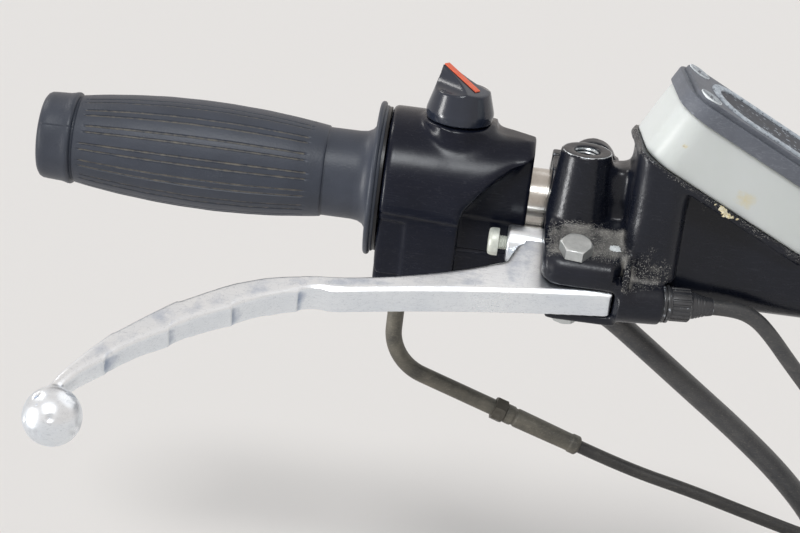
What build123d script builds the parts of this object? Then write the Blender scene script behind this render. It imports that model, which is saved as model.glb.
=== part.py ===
from build123d import *
import os
from math import cos, pi, radians, sin, sqrt, tan

os.makedirs("parts", exist_ok=True)

# Right-hand handlebar controls of a motorcycle, in millimetres.
# X runs along the bar towards the middle of the vehicle, Y towards the rider, Z up.
# The origin is the centre of the tube's inboard end.

# Handlebar tube
bar_diameter = 22.2
bar_wall = 2.0
bar_length = 251.0

# Twist grip
tube_play = 0.1
tube_wall = 2.0
grip_cap = 2.5
grip_end_play = 0.5
grip_length = 123.2
end_band = 12.5
end_radius = 15.8
rim_radius = 16.6
groove_radius = 15.3
groove_width = 1.2
barrel_length = 89.0
barrel_start_radius = 15.9
barrel_radius = 19.6
barrel_end_radius = 16.4
neck_radius = 16.0
flange_radius = 27.7
flange_thickness = 3.2
back_plate_radius = 26.0
back_plate_thickness = 1.0
drum_radius = 17.0
drum_width = 8.0

# Switch and throttle housing
housing_gap = 0.4
housing_length = 51.7
housing_radius = 27.0
housing_end_wall = 5.3
housing_rounding = 2.0
drum_room = 0.8
lip_y = -22.5
lip_z = -29.0
lip_step = 3.6
housing_floor = -38.0
scoop_length = 23.4
scoop_low = -3.0
scoop_high = 20.5
scoop_depth = 12.8
scoop_edge = 3.0
shoulder_drop = 2.4
shoulder_from_knob = 14.0
shoulder_fall = 32.0
housing_screw_radius = 2.5
housing_screw_head = 4.5
housing_screw_height = 3.0
housing_screw_reach = 7.0

# Stop switch knob
knob_from_left = 23.7
knob_y = -5.0
collar_diameter = 25.6
collar_rise = 0.5
knob_gap = 0.3
knob_foot_radius = 11.7
knob_skirt = 3.0
knob_skirt_radius = 12.0
knob_top_radius = 9.8
knob_body = 10.8
knob_pin_radius = 3.0
knob_pin_length = 5.5
ridge_width = 3.6
ridge_rise = 6.6
ridge_turn = -43.0
stripe_width = 2.4
stripe_depth = 0.5
flank_radius = 7.0

# Throttle cable: metal elbow, hexagon, sleeve, casing and its end
elbow_radius = 3.0
elbow_inset = 1.5
elbow_corner_z = -63.6
elbow_run = 39.8
elbow_fall = 13.5
elbow_bend = 18.0
hexagon_flats = 8.0
hexagon_length = 4.5
sleeve_radius = 3.6
sleeve_length = 30.5
cable_radius = 2.4
cable_coil_radius = 27.0
cable_coil_section = 6.5
ferrule_radius = 3.2
ferrule_length = 14.0
wire_radius = 0.9
wire_length = 18.0
nipple_radius = 3.0
nipple_length = 6.0

# Wiring sleeve of the switches, with its plug
loom_radius = 4.25
loom_coil_radius = 43.0
loom_coil_section = 6.0
loom_tail_length = 46.0
loom_plug_length = 30.0
loom_plug_width = 26.0
loom_plug_depth = 14.0
loom_y = -3.0
loom_z = -32.5

# Lead of the brake light switch, with its plug
lead_radius = 2.75
lead_coil_radius = 30.0
lead_coil_section = 4.0
lead_tail_length = 34.0
lead_plug_length = 20.0
lead_plug_width = 12.0
lead_plug_depth = 8.0

# Plane of the lever: it dips towards the front
dip = 17.0
lever_level = -1.5
lever_thickness = 10.5
slot_play = 0.35
upper_ear = 9.4
lower_ear = 3.6
lower_ear_short = 2.5

# Clamp round the bar
clamp_from_housing = 6.7
clamp_width = 24.0
clamp_radius = 18.0
clamp_reach = 17.5
clamp_lug_radius = 8.3
clamp_lug_depth = 14.0
cap_radius = 16.0
cap_thickness = 6.0
clamp_gap = 2.0
clamp_bolt_z = 15.2
clamp_bolt_shift = 2.4
web_top = 23.4
web_depth = 15.0
web_behind_mirror = 3.0
clamp_bolt_grip = 9.0

# Lever pin, ears and hub: places along the bar from the clamp, and forward (q) in the lever's plane
pivot_from_clamp = 10.2
pivot_q = 45.3
ears_start = -0.6
ears_length = 30.1
ear_front_q = 53.5
ear_corner = 7.0
ear_edge = 3.2
hub_radius = 9.5
bolt_radius = 3.0
bolt_play = 0.1
bolt_flats = 10.0
bolt_head = 4.0
nut_height = 5.9

# Lever: knee and ball, from the pin
knee_from_pivot = -94.0
knee_forward = 24.5
knee_half = 5.6
ball_from_pivot = -156.2
ball_forward = 96.2
ball_radius = 9.5
root_half = 4.3
root_from_pivot = 14.6
neck_rise = 2.8

# Adjuster in the lever
adjuster_q = 26.0
adjuster_boss_radius = 6.25
adjuster_boss_start = -24.2
adjuster_boss_length = 18.5
adjuster_screw_radius = 2.5
adjuster_head_radius = 4.5
adjuster_head = 3.2
screw_free_play = 0.3

# Master cylinder
cylinder_from_clamp = 17.0
cylinder_length = 82.0
cylinder_radius = 12.5
bore_radius = 7.0
bore_depth = 62.0
piston_play = 0.05
piston_reach = 6.0
piston_length = 44.0
piston_nose = 2.0
boot_width = 3.0
boot_wall = 1.6
pocket_half = 7.2
slot_back_q = 16.5
mirror_from_clamp = 10.5
mirror_y = -22.5
mirror_top = 28.0
mirror_boss_radius = 9.0
mirror_boss_flare = 2.5
mirror_thread_radius = 4.4
mirror_depth = 22.0
outlet_thread_radius = 4.4
outlet_depth = 12.0

# Fluid reservoir: it leans inboard and is turned a little
lean = 28.0
turn = 7.0
tank_from_clamp = 27.5
tank_y = -28.0
tank_z = 36.5
tank_length = 72.0
tank_width = 36.0
tank_corner = 10.0
tank_height = 20.0
tank_wall = 1.8
seat_thickness = 3.0
seat_margin = 1.2
lid_overhang = 1.2
lid_side = 5.5
lid_step = 4.0
lid_rise = 1.8
lid_screw_inset = 6.5
lid_screw_radius = 4.3
lid_screw_play = 0.3
lid_screw_sunk = 1.2
lid_screw_height = 1.6
oval_length = 52.0
oval_width = 27.0
oval_band = 2.6
oval_rise = 0.9
column_width = 19.0
column_corner = 7.0
hopper_length = 54.0
hopper_width = 26.0
hopper_taper = 6.0

# Brake light switch
light_switch_q = 49.3
light_switch_radius = 7.5
light_switch_from_clamp = 25.7
light_switch_boss = 16.0
light_switch_turn = 8.0
light_collar_radius = 6.6
light_collar = 1.0
light_collar_gap = 0.4
light_body_radius = 5.9
light_body = 8.2
light_boot_radius = 4.6
light_boot = 7.6

# Worked out along the bar
bar_radius = bar_diameter / 2
tube_bore = bar_radius + tube_play
tube_radius = tube_bore + tube_wall
grip_left = -bar_length - grip_end_play - grip_cap
grip_right = grip_left + grip_length
housing_left = grip_right + back_plate_thickness + housing_gap
housing_right = housing_left + housing_length
drum_left = housing_left + housing_end_wall + drum_room
drum_right = drum_left + drum_width
drum_room_right = drum_right + drum_room
knob_u = housing_left + knob_from_left
collar_top = housing_radius + collar_rise
shoulder_z = housing_radius - shoulder_drop
clamp_left = housing_right + clamp_from_housing
clamp_middle = clamp_left + clamp_width / 2
clamp_right = clamp_left + clamp_width
pivot_u = clamp_left + pivot_from_clamp
ear_left = clamp_left + ears_start
ear_right = ear_left + ears_length
cylinder_left = clamp_left + cylinder_from_clamp
cylinder_right = cylinder_left + cylinder_length
mirror_u = clamp_left + mirror_from_clamp
tank_u = clamp_left + tank_from_clamp
light_left = clamp_left + light_switch_from_clamp
piston_end = cylinder_left - piston_reach

# Worked out across the lever
dip_sin = sin(radians(dip))
dip_cos = cos(radians(dip))
lever_top = lever_level + lever_thickness / 2
lever_bottom = lever_level - lever_thickness / 2
slot_top = lever_top + slot_play
slot_bottom = lever_bottom - slot_play
ear_top = slot_top + upper_ear
ear_bottom = slot_bottom - lower_ear


def lever_plane(n):
    """The plane of the lever, n above the bar's axis; its x is along the bar, its -y is forward."""
    return Plane(
        origin=(0, -n * dip_sin, n * dip_cos),
        x_dir=(1, 0, 0),
        z_dir=(0, -dip_sin, dip_cos),
    )


def lever_yz(q, n):
    """The y and z of a place q forward and n up in the lever's plane."""
    return (-q * dip_cos - n * dip_sin, -q * dip_sin + n * dip_cos)


def bowed(start, end, bow):
    """The middle of a chord in a sketch, pushed to its left by bow: the third point of an arc."""
    length = sqrt((end[0] - start[0]) ** 2 + (end[1] - start[1]) ** 2)
    return (
        (start[0] + end[0]) / 2 - (end[1] - start[1]) / length * bow,
        (start[1] + end[1]) / 2 + (end[0] - start[0]) / length * bow,
    )


def bend_radii(points):
    """For each corner of a cord: 0.45 of its shorter run, divided by the tangent of half the turn."""
    radii = []
    for before, corner, after in zip(points, points[1:], points[2:]):
        run_in = Vector(*corner) - Vector(*before)
        run_out = Vector(*after) - Vector(*corner)
        half_turn = radians(run_in.get_angle(run_out)) / 2
        radii.append(0.45 * min(run_in.length, run_out.length) / tan(half_turn))
    return radii


def start_plane(points):
    """The plane across a cord at its first point."""
    return Plane(origin=points[0], z_dir=Vector(*points[1]) - Vector(*points[0]))


cylinder_y, cylinder_z = lever_yz(adjuster_q, lever_level)
light_y, light_z = lever_yz(light_switch_q, lever_level)

# Handlebar tube
with BuildPart() as bar_tube:
    with BuildSketch(Plane.YZ.offset(-bar_length)):
        Circle(bar_radius)
        Circle(bar_radius - bar_wall, mode=Mode.SUBTRACT)
    extrude(amount=bar_length)
bar_tube.part.label = "bar_tube"
export_step(bar_tube.part, "parts/bar_tube.step")

# Throttle tube: sleeve, thin plate and cable drum
tube_left = -bar_length - grip_end_play
with BuildPart() as throttle_tube:
    with BuildSketch(Plane.YZ.offset(tube_left)):
        Circle(tube_radius)
    extrude(amount=drum_right - tube_left)
    with BuildSketch(Plane.YZ.offset(grip_right)):
        Circle(back_plate_radius)
    extrude(amount=back_plate_thickness)
    with BuildSketch(Plane.YZ.offset(drum_left)):
        Circle(drum_radius)
    extrude(amount=drum_width)
    with BuildSketch(Plane.YZ.offset(tube_left)):
        Circle(tube_bore)
    extrude(amount=drum_right - tube_left, mode=Mode.SUBTRACT)
throttle_tube.part.label = "throttle_tube"
export_step(throttle_tube.part, "parts/throttle_tube.step")

# Grip rubber: end band, barrel, neck and hand flange
barrel_left = grip_left + end_band + groove_width
barrel_right = barrel_left + barrel_length
flange_left = grip_right - flange_thickness
with BuildPart() as grip_rubber:
    with BuildSketch(Plane.XZ):
        with BuildLine():
            Polyline(
                (grip_left, 0),
                (grip_left, end_radius - 1.6),
                (grip_left + 1.6, end_radius),
                (grip_left + end_band - 2.5, end_radius + 0.3),
                (grip_left + end_band - 1.5, rim_radius),
                (grip_left + end_band - 0.5, rim_radius),
                (grip_left + end_band, groove_radius),
                (barrel_left, groove_radius),
                (barrel_left, barrel_start_radius),
            )
            ThreePointArc(
                (barrel_left, barrel_start_radius),
                (barrel_left + 0.47 * barrel_length, barrel_radius),
                (barrel_right, barrel_end_radius),
            )
            Polyline(
                (barrel_right, barrel_end_radius),
                (barrel_right + 0.8, neck_radius),
                (flange_left - 5, neck_radius),
                (flange_left, neck_radius + 3.5),
                (flange_left, flange_radius - 1),
                (flange_left + 1, flange_radius),
                (grip_right - 1, flange_radius),
                (grip_right, flange_radius - 1),
                (grip_right, tube_radius),
                (grip_left + grip_cap, tube_radius),
                (grip_left + grip_cap, 0),
                (grip_left, 0),
            )
        make_face()
    revolve(axis=Axis.X)
grip_rubber.part.label = "grip_rubber"
export_step(grip_rubber.part, "parts/grip_rubber.step")

# Housing, whole, before it is parted along its slanting seam
seam_length = sqrt(lip_y**2 + lip_z**2)
seam_dir = (lip_y / seam_length, lip_z / seam_length)
inner_y = lip_y - seam_dir[0] * lip_step
inner_z = lip_z - seam_dir[1] * lip_step
shoulder_dir = Vector(18.0, -11.0, 0).normalized()
shoulder_back = Vector(0, 0, 1).cross(shoulder_dir)
shoulder_plane = Plane(
    origin=(housing_right - 2, -3.5, shoulder_z),
    x_dir=shoulder_dir,
    z_dir=Vector(0, 0, cos(radians(shoulder_fall))) + shoulder_back * sin(radians(shoulder_fall)),
)
with BuildPart() as housing_whole:
    with BuildSketch(Plane.YZ.offset(housing_left)):
        with BuildLine():
            ThreePointArc(
                (-housing_radius, 0),
                (0, housing_radius),
                (housing_radius, 0),
            )
            Polyline(
                (housing_radius, 0),
                (housing_radius - 1.5, -14),
                (housing_radius - 6, -30),
                (14, housing_floor),
                (-13, housing_floor),
                (inner_y + 0.5, housing_floor + 5),
                (inner_y, inner_z),
                (lip_y, lip_z),
                (lip_y - 3, lip_z + 12),
                (-housing_radius, 0),
            )
        make_face()
    extrude(amount=housing_length)
    fillet(housing_whole.faces().filter_by(Axis.X).edges(), housing_rounding)
    # collar under the knob
    with BuildSketch(Plane.XY):
        with Locations((knob_u, knob_y)):
            Circle(collar_diameter / 2)
    extrude(amount=collar_top)
    # rooms for the throttle tube, its drum and the bar
    with BuildSketch(Plane.YZ.offset(housing_left)):
        Circle(tube_radius + 0.4)
    extrude(amount=housing_end_wall, mode=Mode.SUBTRACT)
    with BuildSketch(Plane.YZ.offset(housing_left + housing_end_wall)):
        Circle(drum_radius + 1)
    extrude(amount=drum_room_right - housing_left - housing_end_wall, mode=Mode.SUBTRACT)
    with BuildSketch(Plane.YZ.offset(drum_room_right)):
        Circle(bar_radius)
    extrude(amount=housing_right - drum_room_right, mode=Mode.SUBTRACT)
    # hole for the knob's pin
    with BuildSketch(Plane.XY.offset(collar_top)):
        with Locations((knob_u, knob_y)):
            Circle(knob_pin_radius + 0.2)
    extrude(amount=-knob_pin_length - 0.5, mode=Mode.SUBTRACT)
    # flat shoulder right of the knob, whose rear falls away towards the end
    with BuildSketch(Plane.XY.offset(shoulder_z)):
        with Locations((knob_u + shoulder_from_knob + housing_length / 2, 0)):
            Rectangle(housing_length, 2 * housing_radius)
    extrude(amount=housing_radius, mode=Mode.SUBTRACT)
    with BuildSketch(shoulder_plane):
        with Locations((0, housing_radius)):
            Rectangle(4 * housing_radius, 2 * housing_radius)
    extrude(amount=housing_radius, mode=Mode.SUBTRACT)
    # scoop in the front that lets the lever's adjuster swing back
    scoop_left = housing_right - scoop_length
    with BuildSketch(Plane.XZ.offset(housing_radius - scoop_depth)):
        with BuildLine():
            Line((scoop_left, housing_floor - 1), (scoop_left, scoop_low))
            ThreePointArc(
                (scoop_left, scoop_low),
                bowed((scoop_left, scoop_low), (housing_right + 1, scoop_high), scoop_edge),
                (housing_right + 1, scoop_high),
            )
            Line((housing_right + 1, scoop_high), (housing_right + 1, housing_floor - 1))
            Line((housing_right + 1, housing_floor - 1), (scoop_left, housing_floor - 1))
        make_face()
    extrude(amount=housing_radius, mode=Mode.SUBTRACT)

seam_plane = Plane(origin=(0, 0, 0), x_dir=(1, 0, 0), z_dir=(0, seam_dir[1], -seam_dir[0]))

# Two screws hold the halves together; each is set by its place along the bar and along the seam
screw_table = [
    {"name": "housing_screw_front", "u": scoop_left - 8, "seam": seam_length - 9, "head_at": 12},
    {"name": "housing_screw_rear", "u": scoop_left + 8, "seam": 3 - housing_radius + 4, "head_at": 10},
]


def screw_plane(row, depth):
    """The plane across a housing screw, depth below the seam towards its head."""
    return Plane(
        origin=(
            row["u"],
            seam_dir[0] * row["seam"] - seam_dir[1] * depth,
            seam_dir[1] * row["seam"] + seam_dir[0] * depth,
        ),
        x_dir=(1, 0, 0),
        z_dir=(0, -seam_dir[1], seam_dir[0]),
    )


# Upper half, with the threaded holes of the screws
with BuildPart() as switch_housing_upper:
    add(housing_whole.part)
    split(bisect_by=seam_plane, keep=Keep.TOP)
    for row in screw_table:
        with BuildSketch(screw_plane(row, 0)):
            Circle(housing_screw_radius)
        extrude(amount=-housing_screw_reach, mode=Mode.SUBTRACT)
switch_housing_upper.part.label = "switch_housing_upper"
export_step(switch_housing_upper.part, "parts/switch_housing_upper.step")

# Lower half, with the cable way into the drum's room and the seats of the screws
cable_u = (drum_left + drum_right) / 2
cable_y = -drum_radius + elbow_inset
elbow_top = housing_floor + 6
with BuildPart() as switch_housing_lower:
    add(housing_whole.part)
    split(bisect_by=seam_plane, keep=Keep.BOTTOM)
    with BuildSketch(Plane.XY.offset(housing_floor - 1)):
        with Locations((cable_u, cable_y)):
            Circle(elbow_radius)
    extrude(amount=elbow_top - housing_floor + 1, mode=Mode.SUBTRACT)
    with BuildSketch(Plane.XY.offset(housing_floor)):
        with Locations((cable_u, cable_y)):
            Circle(elbow_radius - 1)
    extrude(amount=-housing_floor - drum_radius / 2, mode=Mode.SUBTRACT)
    for row in screw_table:
        with BuildSketch(screw_plane(row, 0)):
            Circle(housing_screw_radius)
        extrude(amount=row["head_at"], mode=Mode.SUBTRACT)
        with BuildSketch(screw_plane(row, row["head_at"])):
            Circle(housing_screw_head + 0.4)
        extrude(amount=2 * housing_radius, mode=Mode.SUBTRACT)
switch_housing_lower.part.label = "switch_housing_lower"
export_step(switch_housing_lower.part, "parts/switch_housing_lower.step")

for row in screw_table:
    with BuildPart() as housing_screw:
        with BuildSketch(screw_plane(row, -housing_screw_reach + 1)):
            Circle(housing_screw_radius)
        extrude(amount=housing_screw_reach - 1 + row["head_at"])
        with BuildSketch(screw_plane(row, row["head_at"])):
            Circle(housing_screw_head)
        extrude(amount=housing_screw_height)
    housing_screw.part.label = row["name"]
    export_step(housing_screw.part, "parts/" + row["name"] + ".step")

# Stop switch knob: a tapered body whose top is scooped on both sides of a slanting ridge
knob_bottom = collar_top + knob_gap
ridge_top = knob_body + ridge_rise
ridge_x = (cos(radians(ridge_turn)), sin(radians(ridge_turn)), 0)
ridge_side = (sin(radians(ridge_turn)), -cos(radians(ridge_turn)), 0)
ridge_plane = Plane(origin=(knob_u, knob_y, knob_bottom), x_dir=ridge_x, z_dir=ridge_side)
with BuildPart() as kill_knob:
    with BuildSketch(Plane(origin=(knob_u, knob_y, knob_bottom))):
        Circle(knob_foot_radius)
    with BuildSketch(Plane(origin=(knob_u, knob_y, knob_bottom + knob_skirt))):
        Circle(knob_skirt_radius)
    loft()
    with BuildSketch(Plane(origin=(knob_u, knob_y, knob_bottom + knob_skirt))):
        Circle(knob_skirt_radius)
    with BuildSketch(Plane(origin=(knob_u, knob_y, knob_bottom + knob_body))):
        Circle(knob_top_radius)
    loft()
    with BuildSketch(Plane(origin=(knob_u, knob_y, knob_bottom + knob_body))):
        Circle(knob_top_radius)
    extrude(amount=ridge_rise)
    # slanting top, from the high end down to the rim
    with BuildSketch(ridge_plane.offset(-2 * knob_top_radius)):
        with BuildLine():
            Polyline(
                (-knob_top_radius - 1, ridge_top + 0.35),
                (knob_top_radius + 1, knob_body - 0.35),
                (knob_top_radius + 1, ridge_top + 2),
                (-knob_top_radius - 1, ridge_top + 2),
                close=True,
            )
        make_face()
    extrude(amount=4 * knob_top_radius, mode=Mode.SUBTRACT)
    # finger scoops beside the ridge
    flank_middle = knob_bottom + knob_body + flank_radius
    for side in (1, -1):
        reach = side * (ridge_width / 2 + flank_radius)
        flank_origin = (
            knob_u + ridge_side[0] * reach - ridge_x[0] * 20,
            knob_y + ridge_side[1] * reach - ridge_x[1] * 20,
            flank_middle,
        )
        with BuildSketch(Plane(origin=flank_origin, x_dir=ridge_side, z_dir=ridge_x)):
            Circle(flank_radius)
        extrude(amount=40, mode=Mode.SUBTRACT)
    # pin that turns in the collar
    with BuildSketch(Plane(origin=(knob_u, knob_y, knob_bottom))):
        Circle(knob_pin_radius)
    extrude(amount=-knob_pin_length)
kill_knob.part.label = "kill_knob"
export_step(kill_knob.part, "parts/kill_knob.step")

# Orange stripe along the ridge's top
ridge_slope = (ridge_rise + 0.7) / (2 * knob_top_radius + 2)
stripe_high = ridge_top + 0.35 - ridge_slope * 1.5
stripe_run = 1.68 * knob_top_radius
with BuildPart() as knob_stripe:
    with BuildSketch(ridge_plane.offset(-stripe_width / 2)):
        with BuildLine():
            Polyline(
                (-knob_top_radius + 0.5, stripe_high),
                (-knob_top_radius + 0.5 + stripe_run, stripe_high - ridge_slope * stripe_run),
                (-knob_top_radius + 0.5 + stripe_run, stripe_high - ridge_slope * stripe_run + stripe_depth),
                (-knob_top_radius + 0.5, stripe_high + stripe_depth),
                close=True,
            )
        make_face()
    extrude(amount=stripe_width)
knob_stripe.part.label = "knob_stripe"
export_step(knob_stripe.part, "parts/knob_stripe.step")

# Bent metal elbow of the throttle cable
elbow_points = [
    (cable_u, cable_y, elbow_top),
    (cable_u, cable_y, elbow_corner_z),
    (cable_u + elbow_run, cable_y, elbow_corner_z - elbow_fall),
]
with BuildPart() as cable_elbow:
    with BuildLine():
        FilletPolyline(*elbow_points, radius=elbow_bend)
    with BuildSketch(start_plane(elbow_points)):
        Circle(elbow_radius)
    sweep()
cable_elbow.part.label = "cable_elbow"
export_step(cable_elbow.part, "parts/cable_elbow.step")

# Hexagon and rubber sleeve at the elbow's end
fall_length = sqrt(elbow_run**2 + elbow_fall**2)
fall_dir = (elbow_run / fall_length, 0, -elbow_fall / fall_length)


def cable_place(s):
    """A place s beyond the elbow's end, on the cable's axis."""
    return (elbow_points[2][0] + fall_dir[0] * s, cable_y, elbow_points[2][2] + fall_dir[2] * s)


with BuildPart() as cable_hexagon:
    with BuildSketch(Plane(origin=cable_place(0), x_dir=(0, 1, 0), z_dir=fall_dir)):
        RegularPolygon(hexagon_flats / 2, 6, major_radius=False)
    extrude(amount=hexagon_length)
cable_hexagon.part.label = "cable_hexagon"
export_step(cable_hexagon.part, "parts/cable_hexagon.step")
with BuildPart() as cable_sleeve:
    with BuildSketch(Plane(origin=cable_place(hexagon_length), x_dir=(0, 1, 0), z_dir=fall_dir)):
        Circle(sleeve_radius)
    extrude(amount=sleeve_length)
cable_sleeve.part.label = "cable_sleeve"
export_step(cable_sleeve.part, "parts/cable_sleeve.step")

# Throttle cable's casing: it falls gently inboard to its coil
cable_start = cable_place(hexagon_length + sleeve_length)
cable_points = [
    cable_start,
    cable_place(hexagon_length + sleeve_length + 20),
    (-3.0, cable_y - 1.0, -99.8),
    (21.0, cable_y - 1.4, -106.3),
    (45.0, cable_y - 1.0, -112.2),
    (68.0, cable_y - 0.4, -115.6),
]
cable_coil_x = cable_points[-1][0]
cable_coil_z = cable_points[-1][2] - cable_coil_radius
with BuildPart() as throttle_cable:
    with BuildLine():
        FilletPolyline(*cable_points, radius=bend_radii(cable_points))
    with BuildSketch(start_plane(cable_points)):
        Circle(cable_radius)
    sweep()
throttle_cable.part.label = "throttle_cable"
export_step(throttle_cable.part, "parts/throttle_cable.step")

# Coil of the rest of the cable: four turns and a quarter, as one ring
with BuildPart() as throttle_cable_coil:
    with Locations(Location((cable_coil_x, cable_points[-1][1], cable_coil_z), (90, 0, 0))):
        Torus(cable_coil_radius, cable_coil_section)
throttle_cable_coil.part.label = "throttle_cable_coil"
export_step(throttle_cable_coil.part, "parts/throttle_cable_coil.step")

# End of the cable below its coil: ferrule, bare wire and nipple
ferrule_z = cable_coil_z - cable_coil_section - 14
with BuildPart() as throttle_cable_end:
    with BuildSketch(Plane.XY.offset(cable_coil_z)):
        with Locations((cable_coil_x + cable_coil_radius, cable_points[-1][1])):
            Circle(cable_radius)
    extrude(amount=ferrule_z - cable_coil_z)
    with BuildSketch(Plane.XY.offset(ferrule_z)):
        with Locations((cable_coil_x + cable_coil_radius, cable_points[-1][1])):
            Circle(ferrule_radius)
    extrude(amount=-ferrule_length)
    with BuildSketch(Plane.XY.offset(ferrule_z - ferrule_length)):
        with Locations((cable_coil_x + cable_coil_radius, cable_points[-1][1])):
            Circle(wire_radius)
    extrude(amount=-wire_length)
    with BuildSketch(Plane.XY.offset(ferrule_z - ferrule_length - wire_length)):
        with Locations((cable_coil_x + cable_coil_radius, cable_points[-1][1])):
            Circle(nipple_radius)
    extrude(amount=-nipple_length)
throttle_cable_end.part.label = "throttle_cable_end"
export_step(throttle_cable_end.part, "parts/throttle_cable_end.step")

# Wiring sleeve of the switches: out of the housing's right end, under the clamp and down
loom_points = [
    (housing_right, loom_y, loom_z),
    (-61.0, loom_y, loom_z),
    (-45.0, loom_y, -38.0),
    (-27.0, loom_y, -51.0),
    (-8.0, loom_y, -65.0),
    (12.0, loom_y, -79.6),
    (31.0, loom_y, -95.0),
    (47.0, loom_y, -111.5),
    (57.0, loom_y, -129.0),
    (60.0, loom_y, -148.0),
]
loom_coil_x = loom_points[-1][0] + loom_coil_radius
loom_coil_z = loom_points[-1][2]
loom_coil_y = loom_y + loom_radius / 2
loom_tail_y = loom_y + loom_radius
with BuildPart() as loom_sleeve:
    with BuildLine():
        FilletPolyline(*loom_points, radius=bend_radii(loom_points))
    with BuildSketch(start_plane(loom_points)):
        Circle(loom_radius)
    sweep()
loom_sleeve.part.label = "loom_sleeve"
export_step(loom_sleeve.part, "parts/loom_sleeve.step")
with BuildPart() as loom_coil:
    with Locations(Location((loom_coil_x, loom_coil_y, loom_coil_z), (90, 0, 0))):
        Torus(loom_coil_radius, loom_coil_section)
loom_coil.part.label = "loom_coil"
export_step(loom_coil.part, "parts/loom_coil.step")
with BuildPart() as loom_tail:
    with BuildSketch(Plane.XY.offset(loom_coil_z - 1)):
        with Locations((loom_points[-1][0], loom_tail_y)):
            Circle(loom_radius)
    extrude(amount=1 - loom_tail_length)
loom_tail.part.label = "loom_tail"
export_step(loom_tail.part, "parts/loom_tail.step")
with BuildPart() as loom_connector:
    with BuildSketch(Plane.XY.offset(loom_coil_z - loom_tail_length)):
        with Locations((loom_points[-1][0], loom_tail_y)):
            RectangleRounded(loom_plug_width, loom_plug_depth, 2)
    extrude(amount=-loom_plug_length)
loom_connector.part.label = "loom_connector"
export_step(loom_connector.part, "parts/loom_connector.step")

# Reservoir frame: along, across and up
up_x = sin(radians(lean))
up_z = cos(radians(lean))
along = (cos(radians(turn)) * up_z, sin(radians(turn)), -cos(radians(turn)) * up_x)


def tank_plane(h):
    """A level of the reservoir, h above the casting's seat, centred on the tank."""
    half = tank_length / 2
    return Plane(
        origin=(
            tank_u + along[0] * half + up_x * h,
            tank_y + along[1] * half,
            tank_z + along[2] * half + up_z * h,
        ),
        x_dir=along,
        z_dir=(up_x, 0, up_z),
    )


with BuildPart() as reservoir_tank:
    with BuildSketch(tank_plane(0)):
        RectangleRounded(tank_length, tank_width, tank_corner)
    extrude(amount=tank_height)
    with BuildSketch(tank_plane(tank_wall)):
        RectangleRounded(tank_length - 2 * tank_wall, tank_width - 2 * tank_wall, tank_corner - tank_wall)
    extrude(amount=tank_height - tank_wall, mode=Mode.SUBTRACT)
reservoir_tank.part.label = "reservoir_tank"
export_step(reservoir_tank.part, "parts/reservoir_tank.step")

# Lid: side wall, stepped border, four sunk screws and a raised oval band
lid_length = tank_length + 2 * lid_overhang
lid_width = tank_width + 2 * lid_overhang
lid_top = tank_height + lid_side + lid_rise
screw_x = lid_length / 2 - lid_screw_inset
screw_y = lid_width / 2 - lid_screw_inset
lid_screw_table = [
    {"name": "lid_screw_front_outer", "x": -screw_x, "y": -screw_y},
    {"name": "lid_screw_rear_outer", "x": -screw_x, "y": screw_y},
    {"name": "lid_screw_front_inner", "x": screw_x, "y": -screw_y},
    {"name": "lid_screw_rear_inner", "x": screw_x, "y": screw_y},
]
with BuildPart() as reservoir_lid:
    with BuildSketch(tank_plane(tank_height)):
        RectangleRounded(lid_length, lid_width, tank_corner + lid_overhang)
    extrude(amount=lid_side)
    with BuildSketch(tank_plane(tank_height + lid_side)):
        RectangleRounded(
            lid_length - 2 * lid_step,
            lid_width - 2 * lid_step,
            tank_corner + lid_overhang - lid_step,
        )
    extrude(amount=lid_rise)
    with BuildSketch(tank_plane(lid_top)):
        SlotOverall(oval_length, oval_width)
        SlotOverall(oval_length - 2 * oval_band, oval_width - 2 * oval_band, mode=Mode.SUBTRACT)
    extrude(amount=oval_rise)
    with BuildSketch(tank_plane(lid_top - lid_screw_sunk)):
        with Locations(*[(row["x"], row["y"]) for row in lid_screw_table]):
            Circle(lid_screw_radius + lid_screw_play)
    extrude(amount=lid_screw_sunk + oval_rise, mode=Mode.SUBTRACT)
reservoir_lid.part.label = "reservoir_lid"
export_step(reservoir_lid.part, "parts/reservoir_lid.step")
for row in lid_screw_table:
    with BuildPart() as lid_screw:
        with BuildSketch(tank_plane(lid_top - lid_screw_sunk)):
            with Locations((row["x"], row["y"])):
                Circle(lid_screw_radius)
        extrude(amount=lid_screw_height)
    lid_screw.part.label = row["name"]
    export_step(lid_screw.part, "parts/" + row["name"] + ".step")

# Boss of the brake light switch: it points inboard and a little back
light_turn_x = cos(radians(light_switch_turn))
light_turn_y = sin(radians(light_switch_turn))


def light_plane(s):
    """The plane across the light switch, s from its boss's left end."""
    return Plane(
        origin=(light_left + light_turn_x * s, light_y + light_turn_y * s, light_z),
        x_dir=(-light_turn_y, light_turn_x, 0),
        z_dir=(light_turn_x, light_turn_y, 0),
    )


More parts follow.
